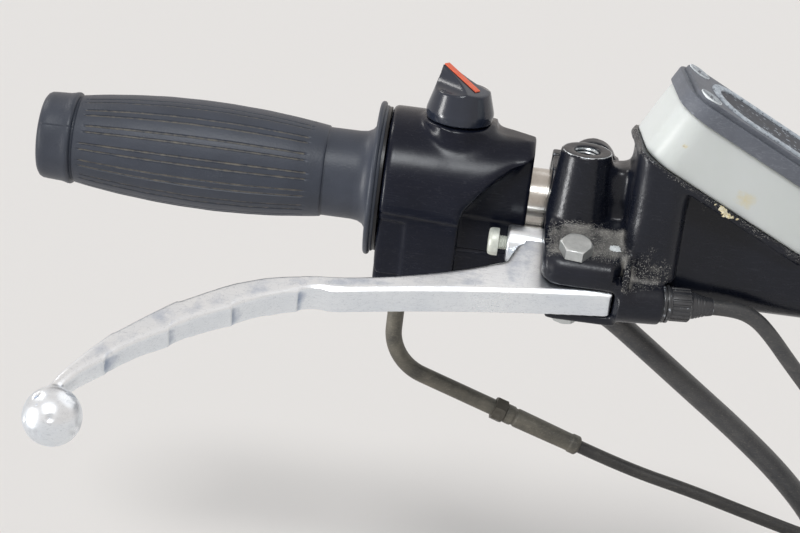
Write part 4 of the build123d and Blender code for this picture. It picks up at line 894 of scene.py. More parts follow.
class MakeCords(bpy.types.Operator):
    """Throttle cable, wiring sleeve and light switch lead, coiled for storage, with their ends."""
    bl_idname = "controls.cords"
    bl_label = "Cords"

    def execute(self, context):
        chosen = context.scene.controls.cords

        def bundle(t):
            """A strand's place in the bundle: 4.1 mm from its middle, and 72 degrees on with each turn."""
            place = radians(144) + radians(72) * t
            return 0.0041 * np.sin(place), 0.0041 * np.cos(place)

        def beside(thickness):
            """A strand that moves by its own thickness towards the rider in one turn."""
            return lambda t: (0 * t, thickness * (t - 0.5))

        coil = coil_points((0.068, -0.0159, -0.1426), 0.027, pi / 2, 4.25, True, bundle)
        tail = [(0.0991, -0.0159, -0.1426), (0.0975, -0.0159, -0.1500), (0.0950, -0.0159, -0.1560),
                (0.0950, -0.0159, -0.1636)]
        cable = cord_curve("throttle_cable_casing", np.concatenate([CABLE_ROUTE, coil, tail]), chosen.cable,
                           "dusty casing", ["throttle_cable", "throttle_cable_coil"])
        end = rounded([(0, 0.5), (0, 3.2), (1.6, 3.2), (2, 2.9), (4, 2.9), (4.4, 3.2), (13.6, 3.2), (14, 2.6),
                       (14, 0.9), (32, 0.9), (32, 2.6), (32.4, 3), (37.6, 3), (38, 2.6), (38, 0.5)], 0.25)
        end = carried(turned(end, 40), (95, -15.9, -163.1), (0, 0, -1), (1, 0, 0))
        fitting = make_piece("throttle_cable_nipple", closed_grid(end), "base", "zinc",
                             ["throttle_cable_end"])
        coil = coil_points((0.103, -0.0009, -0.148), 0.043, pi, 1, False, beside(0.0085))
        tail = [(0.0597, 0.0033, -0.1480), (0.0600, 0.0030, -0.1600), (0.0600, 0.0016, -0.1740),
                (0.0600, 0.0013, -0.1850), (0.0600, 0.0013, -0.1950)]
        loom = cord_curve("wiring_sleeve", np.concatenate([LOOM_ROUTE, coil, tail]), chosen.loom,
                          "grey sleeve", ["loom_sleeve", "loom_coil", "loom_tail"])
        plug = make_piece("wiring_plug", plug_skin(60, 1.25, -194, 26, 14, 30, 2.2), "base", "black plastic",
                          ["loom_connector"])
        coil = coil_points((0.084, -0.030, -0.092), 0.030, pi, 1, False, beside(0.0055))
        tail = [(0.0539, -0.0273, -0.0920), (0.0540, -0.0275, -0.1010), (0.0540, -0.0284, -0.1110),
                (0.0540, -0.02865, -0.1200), (0.0540, -0.02865, -0.1266)]
        lead = cord_curve("switch_lead_sleeve", np.concatenate([LEAD_ROUTE, coil, tail]), chosen.lead,
                          "grey sleeve", ["switch_lead", "switch_lead_coil", "switch_lead_tail"])
        plug = make_piece("switch_lead_plug", plug_skin(54, -28.65, -126, 12, 8, 20, 1.2), "base",
                          "black plastic", ["switch_lead_connector"])
        return {"FINISHED"}


# Grip and bar


def grip_skin(sizes):
    """The grip's rubber, and its soil: a turned profile whose barrel radius is lowered by its grooves.

    The barrel is a parabola through its start, its thickest place and its end. Pairs of grooves run
    along it; a groove is a smooth trough across the angle that fades out at both of its ends."""
    left, start, stop, flange = GRIP_LEFT, GRIP_LEFT + 13.7, GRIP_LEFT + 102.7, GRIP_RIGHT - 3.2
    typical_radius = 18.0
    bulge = np.polyfit([0, 41.8, 89], [15.85, 19.55, 16.45], 2)
    run = np.concatenate([np.linspace(0, 9, 16), np.linspace(10.5, 78, 38), np.linspace(79.5, 89, 17)])
    barrel = [(start + s, np.polyval(bulge, s)) for s in run]
    cap = [(left + s, r) for s, r in (
        (0, 4), (0, 9), (0.05, 12.6), (0.4, 14.1), (1.1, 15.1), (2.1, 15.6), (4, 15.75), (8.6, 15.95),
        (10.0, 16.25), (11.0, 16.55), (11.8, 16.6), (12.3, 16.35), (12.5, 15.7), (12.7, 15.3), (13.4, 15.3),
        (13.6, 15.5))]
    neck = [(stop + s, r) for s, r in ((0.25, 16.3), (0.45, 15.95), (1.2, 15.95))]
    dish = [(flange + s, r) for s, r in (
        (-6, 15.98), (-3.5, 16.3), (-1.7, 17.2), (-0.5, 18.8), (0.1, 20.4), (0.45, 22.5), (0.5, 24.6),
        (0.3, 25.6), (0, 26.2), (0.02, 26.9), (0.35, 27.45), (0.95, 27.7), (1.6, 27.6), (2.0, 27.2),
        (2.1, 26.6), (2.2, 26.3), (2.9, 26.3), (3.2, 25.9), (3.2, 20), (3.2, 13.25))]
    inside = [(left + 2.5, 13.25), (left + 2.5, 5)]
    profile = np.array(cap + barrel + neck + dish + inside)
    grooved = np.zeros((len(profile), 1), bool)
    grooved[len(cap):len(cap) + len(barrel)] = True
    apart, half = sizes.groove_apart, sizes.groove_width / 2
    side = np.array([half * 1.25, half, 0.62 * half, 0.0])
    groove = np.concatenate([apart - side, apart + side])
    offset = np.unique(np.round(np.concatenate([groove, -groove, [-3.5, -2.8, -0.2, 0.0, 0.2, 2.8]]), 4))
    pair = radians(10) + np.arange(sizes.pairs) * 2 * pi / sizes.pairs
    angle = np.sort((pair[:, None] + offset[None] / typical_radius).ravel())
    phase = (angle[:, None] - pair[None] + pi) % (2 * pi) - pi
    nearest = np.abs(phase).argmin(1)
    across = phase[np.arange(len(angle)), nearest] * typical_radius
    trough = np.clip(1 - np.abs(np.abs(across) - apart) / half, 0, 1)
    trough = trough**2 * (3 - 2 * trough) * 0.35 + 0.65 * np.clip(2.2 * trough, 0, 1)
    trough += 0.12 * (np.abs(across) < apart)
    begin = start + 1.6 + 1.4 * ((nearest * 5) % 3) / 2
    finish = stop - 4.4 - 1.2 * ((nearest * 7) % 4) / 3
    place = profile[:, 0][:, None]
    fade = rise(place - begin, 1.2) * rise(finish - place, 1.6)
    radius = profile[:, 1][:, None] - sizes.groove_depth * trough * fade * grooved
    # flash line of the mould along the end band
    band = (place > left + 1) & (place < start)
    seam = np.abs((angle - radians(32.5) + pi) % (2 * pi) - pi) * 16 < 0.12
    radius = radius - 0.12 * band * seam[None]
    x = np.broadcast_to(place, radius.shape)
    points = np.stack([x, -radius * np.cos(angle), radius * np.sin(angle)], -1)
    wobble = ripple(points, 38, 3)[..., None] * 0.12
    points = points + wobble * points * (0, 1, 1) / 20
    soil_and_shade = np.append((trough * fade * grooved).ravel(), [0, 0])
    return closed_grid(points), soil_and_shade


class MakeGrip(bpy.types.Operator):
    """Ribbed rubber grip with its end band and dished hand flange, and the tube under it."""
    bl_idname = "controls.grip"
    bl_label = "Grip"

    def execute(self, context):
        skin, soil_and_shade = grip_skin(context.scene.controls.grip)
        make_piece("grip_sleeve", skin, "throttle", "grip rubber", ["grip_rubber"], sharp=60,
                   soil_and_shade=lambda points: soil_and_shade)
        dress("throttle_tube", "black plastic")
        return {"FINISHED"}


class MakeBar(bpy.types.Operator):
    """Handlebar tube with its cut end."""
    bl_idname = "controls.bar"
    bl_label = "Bar"

    def execute(self, context):
        left, right = ends("bar_tube")
        profile = [(left, 9.1), (left, 11.1), (right, 11.1), (right, 9.1)]
        rings = rounded(profile + profile[:2], 0.35)[1:-1]
        between = [(s, 11.1) for s in np.linspace(left + 1, right - 1, 60)]
        fine = np.concatenate([rings[:3], between, rings[3:]])
        tube = carried(turned(fine), (0, 0, 0), (1, 0, 0), (0, 1, 0))
        make_piece("handlebar_tube", ring_grid(tube), "base", "hazy chrome", ["bar_tube"])
        return {"FINISHED"}


def dress(cad_node, finish):
    """A CAD node that stays as it is, in a better finish."""
    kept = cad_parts[cad_node]
    kept.data.materials.clear()
    kept.data.materials.append(FINISHES[finish]["material"])


# Housing, knob and cable elbow


class MakeHousing(bpy.types.Operator):
    """Both halves of the switch housing, with rounded edges, a hollow sweep under the collar, and screws."""
    bl_idname = "controls.housing"
    bl_label = "Switch housing"

    def execute(self, context):
        chosen = context.scene.controls.castings

        def under_lip(points):
            """How far points lie under the lip where the halves meet, which falls a little inboard."""
            return -2.9 - 0.055 * (points[:, 0] - HOUSING_LEFT) - points[:, 2]

        def upper_passes(points):
            """More at the foot of the knob's collar and along the hollow sweep."""
            x, y, z = points.T
            radial = np.hypot(x - KNOB_X, y - KNOB_Y)
            foot = rise(7 - np.abs(radial - 13.5), 5) * rise(27.0 - z, 3) * (z > 10)
            front = rise(-y - 6, 4) * rise(-under_lip(points) - 1.5, 3)
            sweep = rise(x - HOUSING_RIGHT + 34, 4) * front * rise(HOUSING_RIGHT - 3 - x, 3)
            return chosen.evenings * 0.7 + 40 * foot + 75 * sweep

        def set_back(points):
            """The lower half stands back under a lip, and further back left of the cable's housing."""
            front = rise(-points[:, 1] - 12, 4)
            step = 1.0 * rise(under_lip(points), 0.5)
            pocket = 1.1 * rise(HOUSING_LEFT + 10.5 - points[:, 0], 1.6) * rise(under_lip(points) - 2.6, 1.2)
            return points + np.outer((step + pocket) * front, (0, 1, 0))

        for half, passes in (("upper", upper_passes), ("lower", chosen.evenings * 0.7)):
            skin = softened("switch_housing_" + half, chosen.housing_cell, passes, set_back)
            make_piece("housing_" + half, skin, "base", "gloss black", ["switch_housing_" + half], sharp=80)
        for name in ("housing_screw_front", "housing_screw_rear"):
            dress(name, "zinc")
        return {"FINISHED"}


class MakeKnob(bpy.types.Operator):
    """Stop switch knob with its ridge, and the enamel stripe."""
    bl_idname = "controls.knob"
    bl_label = "Stop knob"

    def execute(self, context):
        chosen = context.scene.controls.castings
        knob, stripe = softened("kill_knob", chosen.knob_cell, 9), softened("knob_stripe", 0.16, 2)
        make_piece("stop_knob", knob, "knob", "gloss knob", ["kill_knob"], sharp=80)
        make_piece("stop_knob_stripe", stripe, "knob", "orange enamel", ["knob_stripe"], sharp=80)
        return {"FINISHED"}


def arc_path(start, corner, end, bend, fine=24):
    """A path with one bend: straight to the arc, round it, and straight to the end."""
    start, corner, end = (np.array(p, float) for p in (start, corner, end))
    into, out = corner - start, end - corner
    into, out = into / np.linalg.norm(into), out / np.linalg.norm(out)
    half = np.arccos(np.clip(np.dot(into, out), -1, 1)) / 2
    cut = bend * np.tan(half)
    centre = corner + (out - into) / np.linalg.norm(out - into) * bend / np.cos(half)
    first = corner - into * cut
    across = (first - centre) / bend
    t = np.linspace(0, 2 * half, fine)[:, None]
    arc = centre + bend * (across * np.cos(t) + into * np.sin(t))
    return np.concatenate([np.linspace(start, first, 12)[:-1], arc, np.linspace(arc[-1], end, 12)[1:]])


class MakeElbow(bpy.types.Operator):
    """Bent metal tube that carries the throttle cable out of the housing, its hexagon and rubber sleeve."""
    bl_idname = "controls.elbow"
    bl_label = "Cable elbow"

    def execute(self, context):
        u, y, run, drop, hexagon_height = HOUSING_LEFT + 10.1, -15.5, 39.8, 13.5, 4.5
        start = np.array([u + run, y, -77.1])
        path = arc_path((u, y, -32), (u, y, -63.6), start, 18)
        make_piece("elbow_tube", closed_grid(along(path, 3.0, 32)), "base", "stained sleeve", ["cable_elbow"])
        fall = np.array([run, 0, -drop]) / np.hypot(run, drop)
        hexagon = hexagon_skin(start, fall, (0, 1, 0), 8.0, hexagon_height, both=True)
        make_piece("elbow_hexagon", hexagon, "base", "dark zinc", ["cable_hexagon"], sharp=30)
        profile = [(0, 1), (0, 3.3), (0.5, 3.6), (3.2, 3.6), (3.6, 3.2), (4.3, 3.2), (4.7, 3.55), (14, 3.45),
                   (25, 3.3), (26.6, 3.3), (27, 3.6), (29.6, 3.6), (30.1, 3.2), (30.5, 2.6), (30.5, 1)]
        sleeve = carried(turned(rounded(profile, 0.35), 40), start + fall * hexagon_height, fall, (0, 1, 0))
        make_piece("cable_sleeve_rubber", closed_grid(sleeve), "base", "stained sleeve", ["cable_sleeve"])
        return {"FINISHED"}


# Fasteners


def hexagon_skin(origin, axis, x_dir, flats, height, both=False, dome=0.0):
    """A hexagon prism: radius a / cos(angle from the middle of a flat), its ends cut by a cone of 30
    degrees so that each flat ends in an arch; a dome may rise on top."""
    angle = np.linspace(0, 2 * pi, 144, endpoint=False)
    a = flats / 2
    radius = a / np.cos((angle + pi / 6) % (pi / 3) - pi / 6)
    drop = (radius - a * 0.985) * 0.55
    rows = [(0.5, 0), (radius, 0)]
    if both:
        rows = [(0.5, 0), (a * 0.95, 0), (a * 0.985, 0.02), (radius, drop)]
    rows += [(radius - 0.02, height * 0.3), (radius - 0.02, height * 0.7), (radius, height - drop),
             (radius - 0.12, height - drop + 0.08), (a * 0.985, height), (a * 0.95, height + 0.02)]
    if dome:
        rows += [(a * 0.86 * cos(t), height + dome * sin(t)) for t in np.linspace(0, pi / 2, 7)[:-1]]
    else:
        rows += [(a * 0.7, height - 0.03), (a * 0.3, height - 0.06)]
    rings = [np.stack([r * np.cos(angle), r * np.sin(angle), z + 0 * angle], -1) for r, z in rows]
    return closed_grid(carried(np.stack(rings), origin, axis, x_dir))


def pan_skin(origin, axis, x_dir, radius, height, flat=False):
    """A screw's head: a low dome, or flat with a rim, whose top is lowered where the cross lies."""
    cross_half, cross_reach = 0.5, 2.6
    angle = np.linspace(0, 2 * pi, 96, endpoint=False)
    share = np.array([0.98, 1.0, 1.0, 0.985, 0.94, 0.88, 0.8, 0.7, 0.6, 0.5, 0.4, 0.3, 0.22, 0.15, 0.08])
    dome = [0, 0.08, 0.5, 0.68, 0.84, 0.92, 0.97, 0.99] + [1] * 7
    rim = [0, 0.5, 0.8, 0.96, 1, 1, 0.96, 0.86] + [0.84] * 7
    level = height * np.array(rim if flat else dome)[:, None]
    x = radius * share[:, None] * np.cos(angle)
    y = radius * share[:, None] * np.sin(angle)
    near, far = np.minimum(np.abs(x), np.abs(y)), np.maximum(np.abs(x), np.abs(y))
    z = level - height * 0.45 * ((near < cross_half) & (far < cross_reach)) * (level > 0.6 * height)
    return closed_grid(carried(np.stack([x, y, z], -1), origin, axis, x_dir))


def rod_skin(origin, axis, radius, length, sides):
    """A plain round rod: a circle of one radius carried along its axis."""
    profile = [(0, 0.5), (0, radius), (length, radius), (length, 0.5)]
    return closed_grid(carried(turned(profile, sides), origin, axis, (1, 0, 0)))


class MakeFasteners(bpy.types.Operator):
    """Pivot bolt and its domed nut, clamp bolts and the lever's adjuster screw."""
    bl_idname = "controls.fasteners"
    bl_label = "Bolts, nut and screw"

    def execute(self, context):
        turned_a_little = (cos(radians(24)), sin(radians(24)), 0)
        low = lever_place(PIVOT_U, PIVOT_Q, -10.7)
        head = hexagon_skin(lever_place(PIVOT_U, PIVOT_Q, EAR_TOP), LEVER_UP, turned_a_little, 10.0, 4.0)
        make_piece("pivot_bolt_head", head, "base", "zinc", ["pivot_bolt"], sharp=25)
        nut = hexagon_skin(low, -LEVER_UP, turned_a_little, 10.0, 3.6, dome=2.3)
        make_piece("pivot_nut_domed", nut, "base", "zinc", ["pivot_nut"], sharp=25)
        make_piece("pivot_shank", rod_skin(low, LEVER_UP, 3.0, 24.4, 40), "base", "zinc")
        for name, node_name in (("clamp_bolt_top", "clamp_bolt_upper"),
                                ("clamp_bolt_bottom", "clamp_bolt_lower")):
            (low_x, high_x), (low_y, high_y), (low_z, high_z) = (ends(node_name, axis) for axis in range(3))
            x, y, z = (low_x + high_x) / 2, high_y - 4.0, (low_z + high_z) / 2
            head = hexagon_skin((x, y, z), (0, 1, 0), (0.9, 0, 0.44), 10.0, 4.0)
            rod = rod_skin((x, low_y, z), (0, 1, 0), 3.0, y - low_y, 32)
            make_piece(name, joined(head, rod), "base", "zinc", [node_name], sharp=25)
        # adjuster screw: dented pan head, threads and rounded tip
        left, right = ends("adjuster_screw")
        y, z = lever_place(0, ADJUSTER_Q, LEVER_LEVEL)[1:]
        neck = left + 1.7
        head = pan_skin((neck, y, z), (-1, 0, 0), (0, 0.35, 1), 4.9, 3.6)
        pitch, root, radius = 0.8, 0.3, 2.5
        ridge = np.arange(0, right - neck - 3.2, 0.2)
        depth = root * np.abs((ridge / pitch) % 1 - 0.5) * 2
        tip = [(right - neck - radius + radius * sin(t), radius * cos(t)) for t in np.linspace(0, 1.45, 8)]
        rows = [(-0.01, 0.5), (-0.01, 2.3)] + [(s, radius - d) for s, d in zip(ridge, depth)] + tip
        thread = closed_grid(carried(turned(rows, 32), (neck, y, z), (1, 0, 0), (0, 1, 0)))
        make_piece("adjuster_screw_head", joined(head, thread), "lever", "dull zinc", ["adjuster_screw"],
                   sharp=30)
        return {"FINISHED"}


# Master cylinder and clamp


def lump_skin(origin, axis, size, seed):
    """An uneven lump: a ball stretched to size, its radius raised and lowered by soft waves."""
    polar = np.linspace(0.06, pi - 0.06, 22)
    ball = turned(np.column_stack([-np.cos(polar), np.sin(polar)]), 40)
    uneven = 1 + 0.45 * ripple(ball.reshape(-1, 3), 1.1, seed).reshape(ball.shape[:2])
    return closed_grid(carried(ball * uneven[..., None] * size, origin, axis, (1, 0.2, 0)))


class MakeCasting(bpy.types.Operator):
    """Master cylinder casting with its clamp, ears, mirror boss and leaning seat, and the rear clamp half."""
    bl_idname = "controls.casting"
    bl_label = "Master cylinder"

    def execute(self, context):
        chosen = context.scene.controls.castings

        def passes(points):
            """Fewer along the seat; more on the ears, inside the seat and at the web beside the clamp."""
            x, level, over = points[:, 0], lever_view(points)[1], over_seat(points)
            seat = rise(1 - np.abs(over + 1.5) / 2.5, 1)
            ears = (x < PIVOT_U + 18) & (level > 3) & (level < 13)
            inner = rise(4 - np.abs(over + 7), 4) * (x > PIVOT_U + 20)
            web = rise(x - CLAMP_RIGHT + 5, 2) * rise(CLAMP_RIGHT + 8 - x, 2)
            web = web * rise(points[:, 2] - 10, 3) * rise(-3.5 - over, 3)
            return chosen.evenings * (1 - 0.5 * seat) + 10 * ears + 12 * inner + 45 * web

        def rolled(points):
            """The upper ear's front edge is rolled: a round of 5.5 mm; and the skin swells softly."""
            round_size = 5.5
            level = lever_view(points)[1]
            ear = (points[:, 0] < PIVOT_U + 17) & (level > 4) & (level < 15)
            forward = before_front(points, ear) + round_size
            upward = level - EAR_TOP + round_size
            reach = np.hypot(forward, upward)
            over = np.maximum(reach - round_size, 0) * ear * (forward > 0) * (upward > 0)
            way = np.outer(upward, LEVER_UP) - np.outer(forward, LEVER_BACK)
            swell = ripple(points, 26, 5) * 0.10
            points = points - way * (over / np.maximum(reach, 1e-6))[:, None]
            return points + swell[:, None] * np.array([0.2, -0.7, 0.7])

        def soil_and_shade(points):
            """Dirt lies on the ears' plateau, on the ledge over the light switch and along the seat."""
            x, (ahead, level) = points[:, 0], lever_view(points)
            plateau = rise(level - 11, 2) * rise(16.5 - level, 2) * rise(ahead - 27, 5) * rise(52 - ahead, 6)
            plateau = plateau * rise(CLAMP_RIGHT + 6 - x, 4)
            ledge = rise(level - 4.5, 1.5) * rise(ahead - 42, 3) * (x > CLAMP_RIGHT + 3)
            rim = rise(2.5 - np.abs(over_seat(points) + 0.5), 2) * 0.7 * (points[:, 2] > 0)
            return 1.2 * plateau + 0.95 * ledge + rim

        body = softened("master_cylinder_body", chosen.casting_cell, passes, rolled)
        make_piece("cylinder_casting", body, "base", "cast black", ["master_cylinder_body"], sharp=80,
                   soil_and_shade=soil_and_shade)
        clamp = softened("clamp_cap", 0.6, chosen.evenings)
        make_piece("clamp_rear_half", clamp, "base", "cast black", ["clamp_cap"], sharp=80)
        # thread of the mirror's hole: a ridge that climbs by one pitch a turn
        pitch, depth, rows, columns = 1.25, 14, 113, 64
        angle = np.linspace(0, 2 * pi, columns, endpoint=False)[None]
        down = np.linspace(0, depth, rows)[:, None]
        ridge = np.abs(((down / pitch + angle / (2 * pi)) % 1) - 0.5) * 2
        radius = 4.38 - 0.42 * ridge
        x, y = MIRROR_X + radius * np.cos(angle), MIRROR_Y + radius * np.sin(angle)
        thread = np.stack([x, y, 27.6 - down + 0 * angle], -1).reshape(-1, 3)
        skin = thread, grid_faces(rows, columns, True)
        make_piece("mirror_thread", skin, "base", "bright thread", sharp=80)
        # worn rim of the mirror's boss, a paint chip and the crust under the reservoir
        rim = turned(rounded([(27.3, 8.2), (27.3, 8.72), (27.75, 8.62), (27.95, 8.3), (27.6, 8.0)], 0.1))
        make_piece("mirror_boss_rim", ring_grid(rim + (MIRROR_X, MIRROR_Y, 0)), "base", "bright thread")
        chip = lump_skin(lever_place(CLAMP_RIGHT - 0.3, 40.7, 13.3), LEVER_UP, (2.3, 1.8, 0.6), 3)
        make_piece("paint_chip", chip, "base", "bare metal")
        # each lump: its place along and above the seat, its size and its seed
        lumps = [lump_skin(tank_place(x, -18.7, up), -TANK_ACROSS, size, seed) for x, up, size, seed in (
            (-5.0, -0.8, (1.3, 0.8, 0.9), 4), (-3.6, -1.1, (1.2, 1.0, 1.1), 5),
            (-2.3, -1.5, (1.3, 0.9, 0.9), 6), (-1.1, -1.4, (1.0, 1.0, 0.9), 7),
            (-0.1, -1.2, (0.8, 0.6, 0.7), 8), (-7.6, -0.6, (0.5, 0.3, 0.5), 9),
            (1.9, -0.8, (0.6, 0.35, 0.5), 10), (-2.6, -2.3, (0.6, 0.5, 0.6), 11))]
        make_piece("seat_crust", joined(*lumps), "base", "crust")
        return {"FINISHED"}


class MakePiston(bpy.types.Operator):
    """Piston and its rubber boot."""
    bl_idname = "controls.piston"
    bl_label = "Piston"

    def execute(self, context):
        dress("piston", "zinc")
        dress("piston_boot", "black plastic")
        return {"FINISHED"}


class MakeLightSwitch(bpy.types.Operator):
    """Brake light switch: two collars, a ribbed body and a tapered rubber."""
    bl_idname = "controls.light_switch"
    bl_label = "Brake light switch"

    def execute(self, context):
        turn = radians(8)
        y, z = lever_place(0, 49.3, LEVER_LEVEL)[1:]
        way = np.array([cos(turn), sin(turn), 0])
        start = np.array([CLAMP_LEFT + 25.7, y, z]) + way * 16
        profile = rounded([(0, 1), (0, 6.6), (1.0, 6.6), (1.05, 5.9), (1.35, 5.9), (1.4, 6.6), (2.4, 6.6),
                           (2.5, 5.75), (3.2, 5.6), (3.4, 5.85), (9.6, 5.85), (10.2, 5.3), (10.6, 4.6),
                           (11.8, 4.55), (12.1, 4.2), (12.7, 4.3), (13.2, 3.95), (13.8, 4.0), (14.3, 3.6),
                           (14.9, 3.7), (15.5, 3.35), (16.4, 3.3), (18.2, 3.0), (18.2, 1)], 0.18)
        sides = 160
        rings = turned(profile, sides)
        height = profile[:, 0][:, None]
        angle = np.linspace(0, 2 * pi, sides, endpoint=False)[None]
        ribbed = (height > 3.35) & (height < 9.7)
        shape = 1 - 0.055 * ribbed * (np.cos(angle * 20) > 0.25)
        rings[..., :2] *= shape[..., None]
        make_piece("light_switch_body", closed_grid(carried(rings, start, way, (0, 0, 1))), "base",
                   "plastic with painted highlights", ["brake_light_switch"], sharp=40)
        return {"FINISHED"}


# Reservoir


def band_rings(length, width, band, low, lift):
    """A raised band round an oval: rings across the band, each an oblong with full half circles."""
    inset = [0.0, 0.0, 0.12, 0.35, band / 2, band - 0.35, band - 0.12, band, band]
    height = [low - 0.6] + [low + lift * share for share in (0.6, 0.9, 1, 1, 1, 0.9, 0.6)] + [low - 0.6]
    return stacked(lambda i: rounded_oblong(length - 2 * i, width - 2 * i, width / 2 - i - 0.001, 48),
                   zip(height, inset))


class MakeReservoir(bpy.types.Operator):
    """Milky tank, stepped lid with its chalky raised band, and four corroded screws."""
    bl_idname = "controls.reservoir"
    bl_label = "Reservoir"

    def execute(self, context):
        middle = tank_place(0, 0, 0)

        def on_seat(rings, grid=closed_grid):
            """Rings of the reservoir's own frame, carried to its seat as a skin."""
            return grid(carried(rings, middle, TANK_UP, TANK_ALONG))

        def tank_outline(i):
            return rounded_oblong(TANK_LENGTH - 2 * i, TANK_WIDTH - 2 * i, TANK_CORNER - i, 16)

        def soil_and_shade(points):
            """Old fluid has stained the front low down; one brown speck."""
            x, y, h = ((points - middle) @ basis(TANK_UP, TANK_ALONG).T).T
            stain = np.exp(-(((x + 1) / 9) ** 2) - ((h - 6.5) / 4) ** 2) * rise(-y - 14, 3)
            speck = 1.2 * (np.hypot(x + 28.7, h - 10.1) < 0.9) * rise(-y - 10, 3)
            return 0.95 * stain + speck

        # profiles hold a height over the seat and an inset from the outline
        tank = stacked(tank_outline, (
            (0, 2), (0, 1.0), (0.15, 0.45), (0.5, 0.12), (1.0, 0), (2, -0.02), (4, -0.05), (6, -0.1),
            (8, -0.15), (10, -0.2), (12, -0.2), (14, -0.2), (16, -0.15), (17.5, -0.1), (18.6, -0.05),
            (19.3, 0), (19.7, 0.1), (20, 0.4), (20, 2.4)))
        make_piece("tank_body", on_seat(tank), "base", "milky plastic", ["reservoir_tank"], soil_and_shade=soil_and_shade)

        def lid_outline(i):
            corner = 11.2 - i if i < 1.8 else max(8.9 - i, 0.4)
            return rounded_oblong(TANK_LENGTH + 2.4 - 2 * i, TANK_WIDTH + 2.4 - 2 * i, corner, 20)

        # lid: its side, a narrow ledge with a groove, and the plate that stands on it
        lid = stacked(lid_outline, (
            (20, 6), (20, 0.9), (20.05, 0.3), (20.3, 0), (22.7, 0), (25.0, 0), (25.35, 0.1), (25.5, 0.35),
            (25.55, 0.6), (25.6, 1.5), (25.4, 1.85), (25.3, 2.1), (25.4, 2.3), (26.9, 2.35), (27.15, 2.45),
            (27.27, 2.7), (27.3, 3.2), (27.3, 6.4), (27.3, 9.6), (27.3, 13), (27.3, 16.5)))
        make_piece("lid_body", on_seat(lid), "base", "faded charcoal", ["reservoir_lid"], sharp=28)
        band = band_rings(53.0, 28.0, 3.4, 27.2, 0.7)
        make_piece("lid_band", on_seat(band, ring_grid), "base", "chalky band")
        plate = stacked(lambda i: rounded_oblong(47 - 2 * i, 22 - 2 * i, 11 - i - 0.01, 48),
                        ((27.0, 0), (27.3, 0.1), (27.36, 0.4), (27.36, 4), (27.36, 9)))
        make_piece("lid_plate", on_seat(plate), "base", "dark recess")
        for side, x in (("outer", -29.8), ("inner", 29.8)):
            for end, y in (("front", -12.2), ("rear", 12.2)):
                name = "lid_screw_" + end + "_" + side
                slot = TANK_ALONG + 0.3 * x / 30 * TANK_ACROSS
                head = pan_skin(tank_place(x, y, 26.4), TANK_UP, slot, 4.1, 1.3, flat=True)
                make_piece(name + "_head", head, "base", "corroded steel", [name], sharp=30)
        return {"FINISHED"}


# Lever


def finger_place(points):
    """How many notches between finger hollows lie outboard of each point, with the share of the way
    to the next, and how far ahead the middle of the blade lies there."""
    notches = np.interp(points[:, 0], (-224, -206, -189, -171, -151, -135), (0, 1, 2, 3, 4, 5))
    middle = np.interp(points[:, 0], (-217, -206, -189, -171, -151, -135), (125, 110, 91, 74, 63, 62))
    return notches, middle


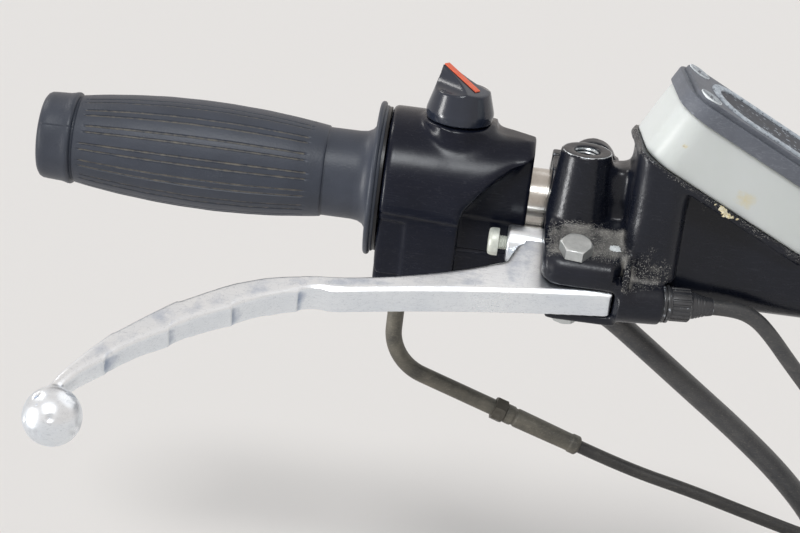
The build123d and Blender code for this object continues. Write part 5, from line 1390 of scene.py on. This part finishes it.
class MakeLever(bpy.types.Operator):
    """Brake lever: its blade with soft edges and finger hollows, its hub, adjuster boss and dented ball."""
    bl_idname = "controls.lever"
    bl_label = "Brake lever"

    def execute(self, context):
        chosen = context.scene.controls.castings
        ball = lever_place(PIVOT_U - 156.2, 141.5, LEVER_LEVEL)
        half_thick = 5.25
        bevel_back, bevel_up = 0.545, 0.839

        def passes(points):
            """More on the outer blade, where the ball joins it and round the adjuster's boss."""
            outer = rise(-140 - points[:, 0], 25)
            apart = np.linalg.norm(points - ball, axis=1)
            joint = rise(6 - np.abs(apart - 11), 6) * (apart > 9.8)
            boss = np.linalg.norm((points - lever_place(-72, 29, 0)) / (12, 6, 6), axis=1)
            return 12 + 22 * outer + 22 * joint + 14 * rise(1.5 - boss, 0.5) * rise(points[:, 0] + 78, 3)

        def shape(points):
            """Finger hollows along the outer blade, a bevel of 33 degrees along the front, a boss set
            back from its screw, and dents in the ball."""
            ahead, level = lever_view(points)
            notches, middle = finger_place(points)
            apart = np.linalg.norm(points - ball, axis=1)
            side = np.clip((ahead - middle) / 7, -1, 1)
            hollow = 2.6 * (notches % 1) ** 0.4 * (1 - notches % 1)
            hollow = hollow * rise(apart - 12, 4) * rise(-135 - points[:, 0], 8)
            moved = points + np.outer(1.1 * hollow * side, LEVER_BACK)
            over_top = lever_view(moved)[1] - LEVER_LEVEL - half_thick
            beyond = before_front(moved, slice(None))
            over = np.maximum(bevel_back * beyond + bevel_up * over_top + 1.0, 0) * rise(apart - 13, 5)
            moved -= over[:, None] * (bevel_up * LEVER_UP - bevel_back * LEVER_BACK)
            in_boss = rise(8.5 - np.hypot(ahead - ADJUSTER_Q, level - LEVER_LEVEL), 1.5)
            moved[:, 0] += 5.0 * rise(-76 - moved[:, 0], 9) * in_boss
            dents = np.clip(ripple(points, 6.5, 11) - 0.4, 0, 1) * (apart < 10.2)
            pull = (points - ball) / np.maximum(apart, 1e-6)[:, None]
            return moved - pull * (1.1 * dents)[:, None]

        def soil_and_shade(points):
            """Painted shade at one end of each finger hollow, standing in for the shading step at each ridge,
            and a painted dark reflection in a line along the inner blade's front.
            """
            x, (ahead, level) = points[:, 0], lever_view(points)
            notches, middle = finger_place(points)
            front = rise(ahead - middle - 4, 2) * rise(4 - level, 2)
            hollows = 1.5 * rise(0.6 - notches % 1, 0.6) * front * (x < -140) * (notches > 0.9)
            near_line = rise(1.5 - np.abs(level - LEVER_LEVEL - 2.2), 0.8)
            line = rise(before_front(points, slice(None)) + 1.2, 0.6) * near_line
            return hollows + 0.75 * line * rise(x + 142, 6) * rise(-88 - x, 30)

        blade = softened("brake_lever", chosen.lever_cell, passes, shape, basis(LEVER_UP, (1, 0, 0)))
        make_piece("lever_blade", blade, "lever", "lever aluminium", ["brake_lever"], sharp=60, soil_and_shade=soil_and_shade)
        # bored boss that holds the adjuster screw
        profile = rounded([(0.9, 2.75), (0, 3.3), (0, 6.1), (0.7, 6.6), (12, 6.6), (17, 5.6), (17, 2.75)],
                          0.35)
        boss = carried(turned(profile, 72), lever_place(-83.6, ADJUSTER_Q, LEVER_LEVEL), (1, 0, 0), (0, 1, 0))
        make_piece("adjuster_boss", ring_grid(boss), "lever", "lever aluminium")
        return {"FINISHED"}


# Panel and registration

STEPS = (MakeStage, MakeFinishes, MakeCords, MakeGrip, MakeBar, MakeHousing, MakeKnob, MakeElbow,
         MakeFasteners, MakeCasting, MakePiston, MakeLightSwitch, MakeReservoir, MakeLever)
GROUPS = (Looks, GripSizes, CastingSizes, CordSizes, StageSettings, ControlsSettings)


class ControlsPanel(bpy.types.Panel):
    """Lists the sizes, the colours and the steps."""
    bl_idname = "VIEW3D_PT_controls"
    bl_label = "Handlebar controls"
    bl_space_type = "VIEW_3D"
    bl_region_type = "UI"
    bl_category = "Controls"

    def draw(self, context):
        chosen = context.scene.controls
        for group in (chosen.looks, chosen.grip, chosen.castings, chosen.cords, chosen.stage):
            box = self.layout.box()
            for key in group.bl_rna.properties.keys():
                if key not in ("rna_type", "name"):
                    box.prop(group, key)
        for step in STEPS:
            self.layout.operator(step.bl_idname)


def register():
    for kind in GROUPS + STEPS + (ControlsPanel,):
        bpy.utils.register_class(kind)
    bpy.types.Scene.controls = bpy.props.PointerProperty(type=ControlsSettings)


def unregister():
    del bpy.types.Scene.controls
    for kind in reversed(GROUPS + STEPS + (ControlsPanel,)):
        bpy.utils.unregister_class(kind)


def main():
    register()
    bpy.context.scene.view_settings.view_transform = "Standard"
    for step in STEPS:
        group, name = step.bl_idname.split(".")
        getattr(getattr(bpy.ops, group), name)()


if __name__ == "__main__":
    main()
